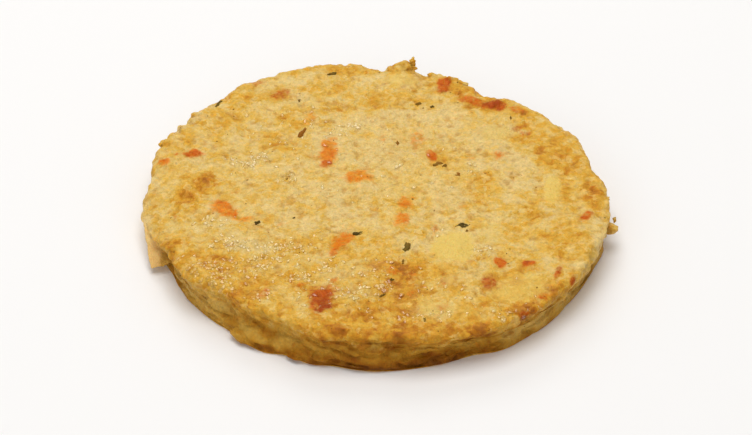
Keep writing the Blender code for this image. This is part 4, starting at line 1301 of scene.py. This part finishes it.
# %% A scatter tree with named inputs
BALL_SEGMENTS = 8
BALL_RINGS = 5
BALL_NARROW = 0.65
SCATTER_INPUTS = {
    "Geometry": "NodeSocketGeometry",
    "Density": "NodeSocketFloat",
    "Smallest": "NodeSocketFloat",
    "Largest": "NodeSocketFloat",
    "Sunk": "NodeSocketFloat",
    "Seed": "NodeSocketInt",
    "Material": "NodeSocketMaterial",
}


def random_number(tree, low, high, seed):
    """A random number for each copy."""
    node = add_node(tree, "FunctionNodeRandomValue", {"Seed": seed}, data_type="FLOAT")
    for socket, value in zip(of_kind(node.inputs, "VALUE"), (low, high)):
        feed(tree, socket, value)
    return of_kind(node.outputs, "VALUE")[0]


def scatter_tree(name, density_name, flat):
    """Geometry Nodes that scatter small balls over a surface, thicker where an attribute is high."""
    group = bpy.data.node_groups.new(name, "GeometryNodeTree")
    sockets = {}
    for label, kind in SCATTER_INPUTS.items():
        sockets[label] = group.interface.new_socket(label, in_out="INPUT", socket_type=kind).identifier
    group.interface.new_socket("Geometry", in_out="OUTPUT", socket_type="NodeSocketGeometry")
    given = group.nodes.new("NodeGroupInput").outputs
    where = add_node(group, "GeometryNodeInputNamedAttribute", {"Name": density_name}, data_type="FLOAT")
    density = maths(group, "MULTIPLY", where.outputs["Attribute"], given["Density"])
    spread_inputs = {"Mesh": given["Geometry"], "Density": density, "Seed": given["Seed"]}
    spread = add_node(group, "GeometryNodeDistributePointsOnFaces", spread_inputs)
    ball_inputs = {"Segments": BALL_SEGMENTS, "Rings": BALL_RINGS, "Radius": 1.0}
    ball = add_node(group, "GeometryNodeMeshUVSphere", ball_inputs)
    size = random_number(group, given["Smallest"], given["Largest"], given["Seed"])
    size_inputs = {0: (1.0, BALL_NARROW, flat), "Scale": size}
    flatten = add_node(group, "ShaderNodeVectorMath", size_inputs, operation="SCALE")
    turn_inputs = {"Axis": (0.0, 0.0, 1.0), "Angle": random_number(group, 0.0, math.tau, 0)}
    turn = add_node(group, "FunctionNodeAxisAngleToRotation", turn_inputs)
    turned_inputs = {"Rotation": spread.outputs["Rotation"], "Rotate By": turn.outputs["Rotation"]}
    turned = add_node(group, "FunctionNodeRotateRotation", turned_inputs, rotation_space="LOCAL")
    sink_inputs = {0: spread.outputs["Normal"], "Scale": maths(group, "MULTIPLY", given["Sunk"], -1.0)}
    sink = add_node(group, "ShaderNodeVectorMath", sink_inputs, operation="SCALE")
    lower_inputs = {"Geometry": spread.outputs["Points"], "Offset": sink.outputs[0]}
    lower = add_node(group, "GeometryNodeSetPosition", lower_inputs)
    copies = add_node(group, "GeometryNodeInstanceOnPoints", {
        "Points": lower.outputs["Geometry"],
        "Instance": ball.outputs["Mesh"],
        "Rotation": turned.outputs["Rotation"],
        "Scale": flatten.outputs[0],
    })
    real = add_node(group, "GeometryNodeRealizeInstances", {"Geometry": copies.outputs["Instances"]})
    smooth = add_node(group, "GeometryNodeSetShadeSmooth", {"Geometry": real.outputs["Geometry"]})
    dressed_inputs = {"Geometry": smooth.outputs["Geometry"], "Material": given["Material"]}
    dressed = add_node(group, "GeometryNodeSetMaterial", dressed_inputs)
    add_node(group, "NodeGroupOutput", {"Geometry": dressed.outputs["Geometry"]})
    return group, sockets


def scattered(name, group, sockets, **values):
    """A plain mesh of what a scatter tree puts on the patty."""
    carrier = bpy.data.objects.new(name, patty.data.copy())
    bpy.context.scene.collection.objects.link(carrier)
    spread = carrier.modifiers.new("scatter", "NODES")
    spread.node_group = group
    for label, value in values.items():
        spread[sockets[label]] = value
    return plain_mesh(carrier, name)


print("a scatter tree's inputs:", list(SCATTER_INPUTS))

# %% Pepper specks
PEPPER_PATTERN = (1.1, 1.0)
PEPPER_ROUGHNESS = 0.6
PEPPER_FLATNESS = 0.6
PEPPER_PER_SQUARE_METRE = 14000.0
PEPPER_SIZES = (0.10, 0.26)
PEPPER_SUNK = 0.05
PEPPER_SEED = 3

pepper, tree, shader = start_material("pepper_speck")
speck_colour = ramp(tree, noise_value(tree, object_place(tree), *PEPPER_PATTERN), (
    (0.35, colour(96, 66, 22)),
    (0.65, colour(160, 110, 40)),
))
feed(tree, shader.inputs["Base Color"], speck_colour)
shader.inputs["Roughness"].default_value = PEPPER_ROUGHNESS
shader.inputs["Specular IOR Level"].default_value = DULL_SPECULAR
smallest, largest = (size * MM for size in PEPPER_SIZES)
pepper_specks = scattered(
    "pepper_specks", *scatter_tree("pepper_scatter", "peppered", PEPPER_FLATNESS),
    Density=PEPPER_PER_SQUARE_METRE, Smallest=smallest, Largest=largest, Sunk=PEPPER_SUNK * MM,
    Seed=PEPPER_SEED, Material=pepper)
print("pepper triangles:", triangle_count(pepper_specks))

# %% Oil beads
OIL_ROUGHNESS = 0.21
OIL_SPECULAR = 1.0
BEAD_FLATNESS = 0.28
BEADS_PER_SQUARE_METRE = 1500000.0
BEAD_SIZES = (0.22, 0.80)
BEAD_SUNK = 0.02
BEAD_SEED = 8

# A bead lets the crust under it show, so its colour is the crust's own, with a smooth glossy skin
oil = crust.copy()
oil.name = "oil_bead"
shader = oil.node_tree.nodes["Principled BSDF"]
for name in ("Normal", "Roughness"):
    for link in list(shader.inputs[name].links):
        oil.node_tree.links.remove(link)
shader.inputs["Roughness"].default_value = OIL_ROUGHNESS
shader.inputs["Specular IOR Level"].default_value = OIL_SPECULAR
smallest, largest = (size * MM for size in BEAD_SIZES)
oil_beads = scattered(
    "oil_beads", *scatter_tree("oil_scatter", "wet", BEAD_FLATNESS),
    Density=BEADS_PER_SQUARE_METRE, Smallest=smallest, Largest=largest, Sunk=BEAD_SUNK * MM,
    Seed=BEAD_SEED, Material=oil)
print("oil bead triangles:", triangle_count(oil_beads))

# %% [markdown]
# ## Fixing the pieces to the part
#
# The solid was centred over its base after it was made, so the dressed pieces make the same small move.
# Then every piece rides on the part's one body, and the patty stands in for the plain solid.

# %% Centre, ride, replace
pieces = (patty, herb_scraps, pepper_specks, oil_beads)
for piece in pieces:
    piece.data.transform(Matrix.Translation(Vector(CENTRING) * MM))
    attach(piece, BODY)
patty.name = "fried_patty"
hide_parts(PATTY_NODE)
print("pieces:", [(piece.name, triangle_count(piece)) for piece in pieces])

# %% [markdown]
# ## Floor, light and camera
#
# The patty is shown on a plain white floor in soft light from above, so its wall lies in warm shade. A big
# area light overhead gives the soft shadow. A smaller one behind glints on the oil. A weak one in front and
# a white surrounding fill the shade. The camera looks down at 38 degrees through a long lens.

# %% Floor
FLOOR_SIZE = 6000.0
FLOOR_WHITE = (0.90, 0.89, 0.88, 1.0)
FLOOR_ROUGHNESS = 0.7

half = FLOOR_SIZE / 2
floor_corners = ((-half, -half, 0), (half, -half, 0), (half, half, 0), (-half, half, 0))
floor = new_mesh_object("floor", floor_corners, faces=((0, 1, 2, 3),))
white, tree, shader = start_material("white_floor")
shader.inputs["Base Color"].default_value = FLOOR_WHITE
shader.inputs["Roughness"].default_value = FLOOR_ROUGHNESS
floor.data.materials.append(white)
print("floor side in mm:", FLOOR_SIZE)

# %% Light
ROOM_COLOUR = (1.0, 0.985, 0.965, 1.0)
ROOM_STRENGTH = 0.45
# Each row: name, place, side of the square, watts
LIGHTS = (
    ("softbox", (-20.0, 80.0, 1000.0), 720.0, 5.7),
    ("window", (-100.0, 770.0, 640.0), 420.0, 1.6),
    ("front_fill", (-350.0, -850.0, 420.0), 600.0, 1.4),
)

world = bpy.data.worlds.new("soft_room")
bpy.context.scene.world = world
world.use_nodes = True
background = world.node_tree.nodes["Background"]
background.inputs["Color"].default_value = ROOM_COLOUR
background.inputs["Strength"].default_value = ROOM_STRENGTH


def soft_light(name, position, side, power):
    """A square area light that faces the patty, in millimetres and watts."""
    lamp = bpy.data.lights.new(name, "AREA")
    lamp.size = side * MM
    lamp.energy = power
    obj = bpy.data.objects.new(name, lamp)
    obj.location = Vector(position) * MM
    obj.rotation_euler = (-Vector(position)).to_track_quat("-Z", "Y").to_euler()
    bpy.context.scene.collection.objects.link(obj)


for row in LIGHTS:
    soft_light(*row)
bpy.context.scene.view_settings.view_transform = "Standard"
print("lights:", [row[0] for row in LIGHTS])

# %% Camera
CAMERA_ELEVATION = 38.0
CAMERA_DISTANCE = 993.5
CAMERA_TARGET = (-0.79, -8.55, 9.5)
CAMERA_LENS = 217.8
SENSOR_WIDTH = 36.0
NEAREST_SEEN = 10.0

lens = bpy.data.cameras.new("camera")
lens.lens = CAMERA_LENS
lens.sensor_width = SENSOR_WIDTH
lens.clip_start = NEAREST_SEEN * MM
camera = bpy.data.objects.new("camera", lens)
tilt = math.radians(CAMERA_ELEVATION)
back = Vector((0.0, -math.cos(tilt), math.sin(tilt)))
camera.location = (Vector(CAMERA_TARGET) + back * CAMERA_DISTANCE) * MM
camera.rotation_euler = (-back).to_track_quat("-Z", "Y").to_euler()
bpy.context.scene.collection.objects.link(camera)
bpy.context.scene.camera = camera
print("camera height in mm:", round(camera.location.z / MM))
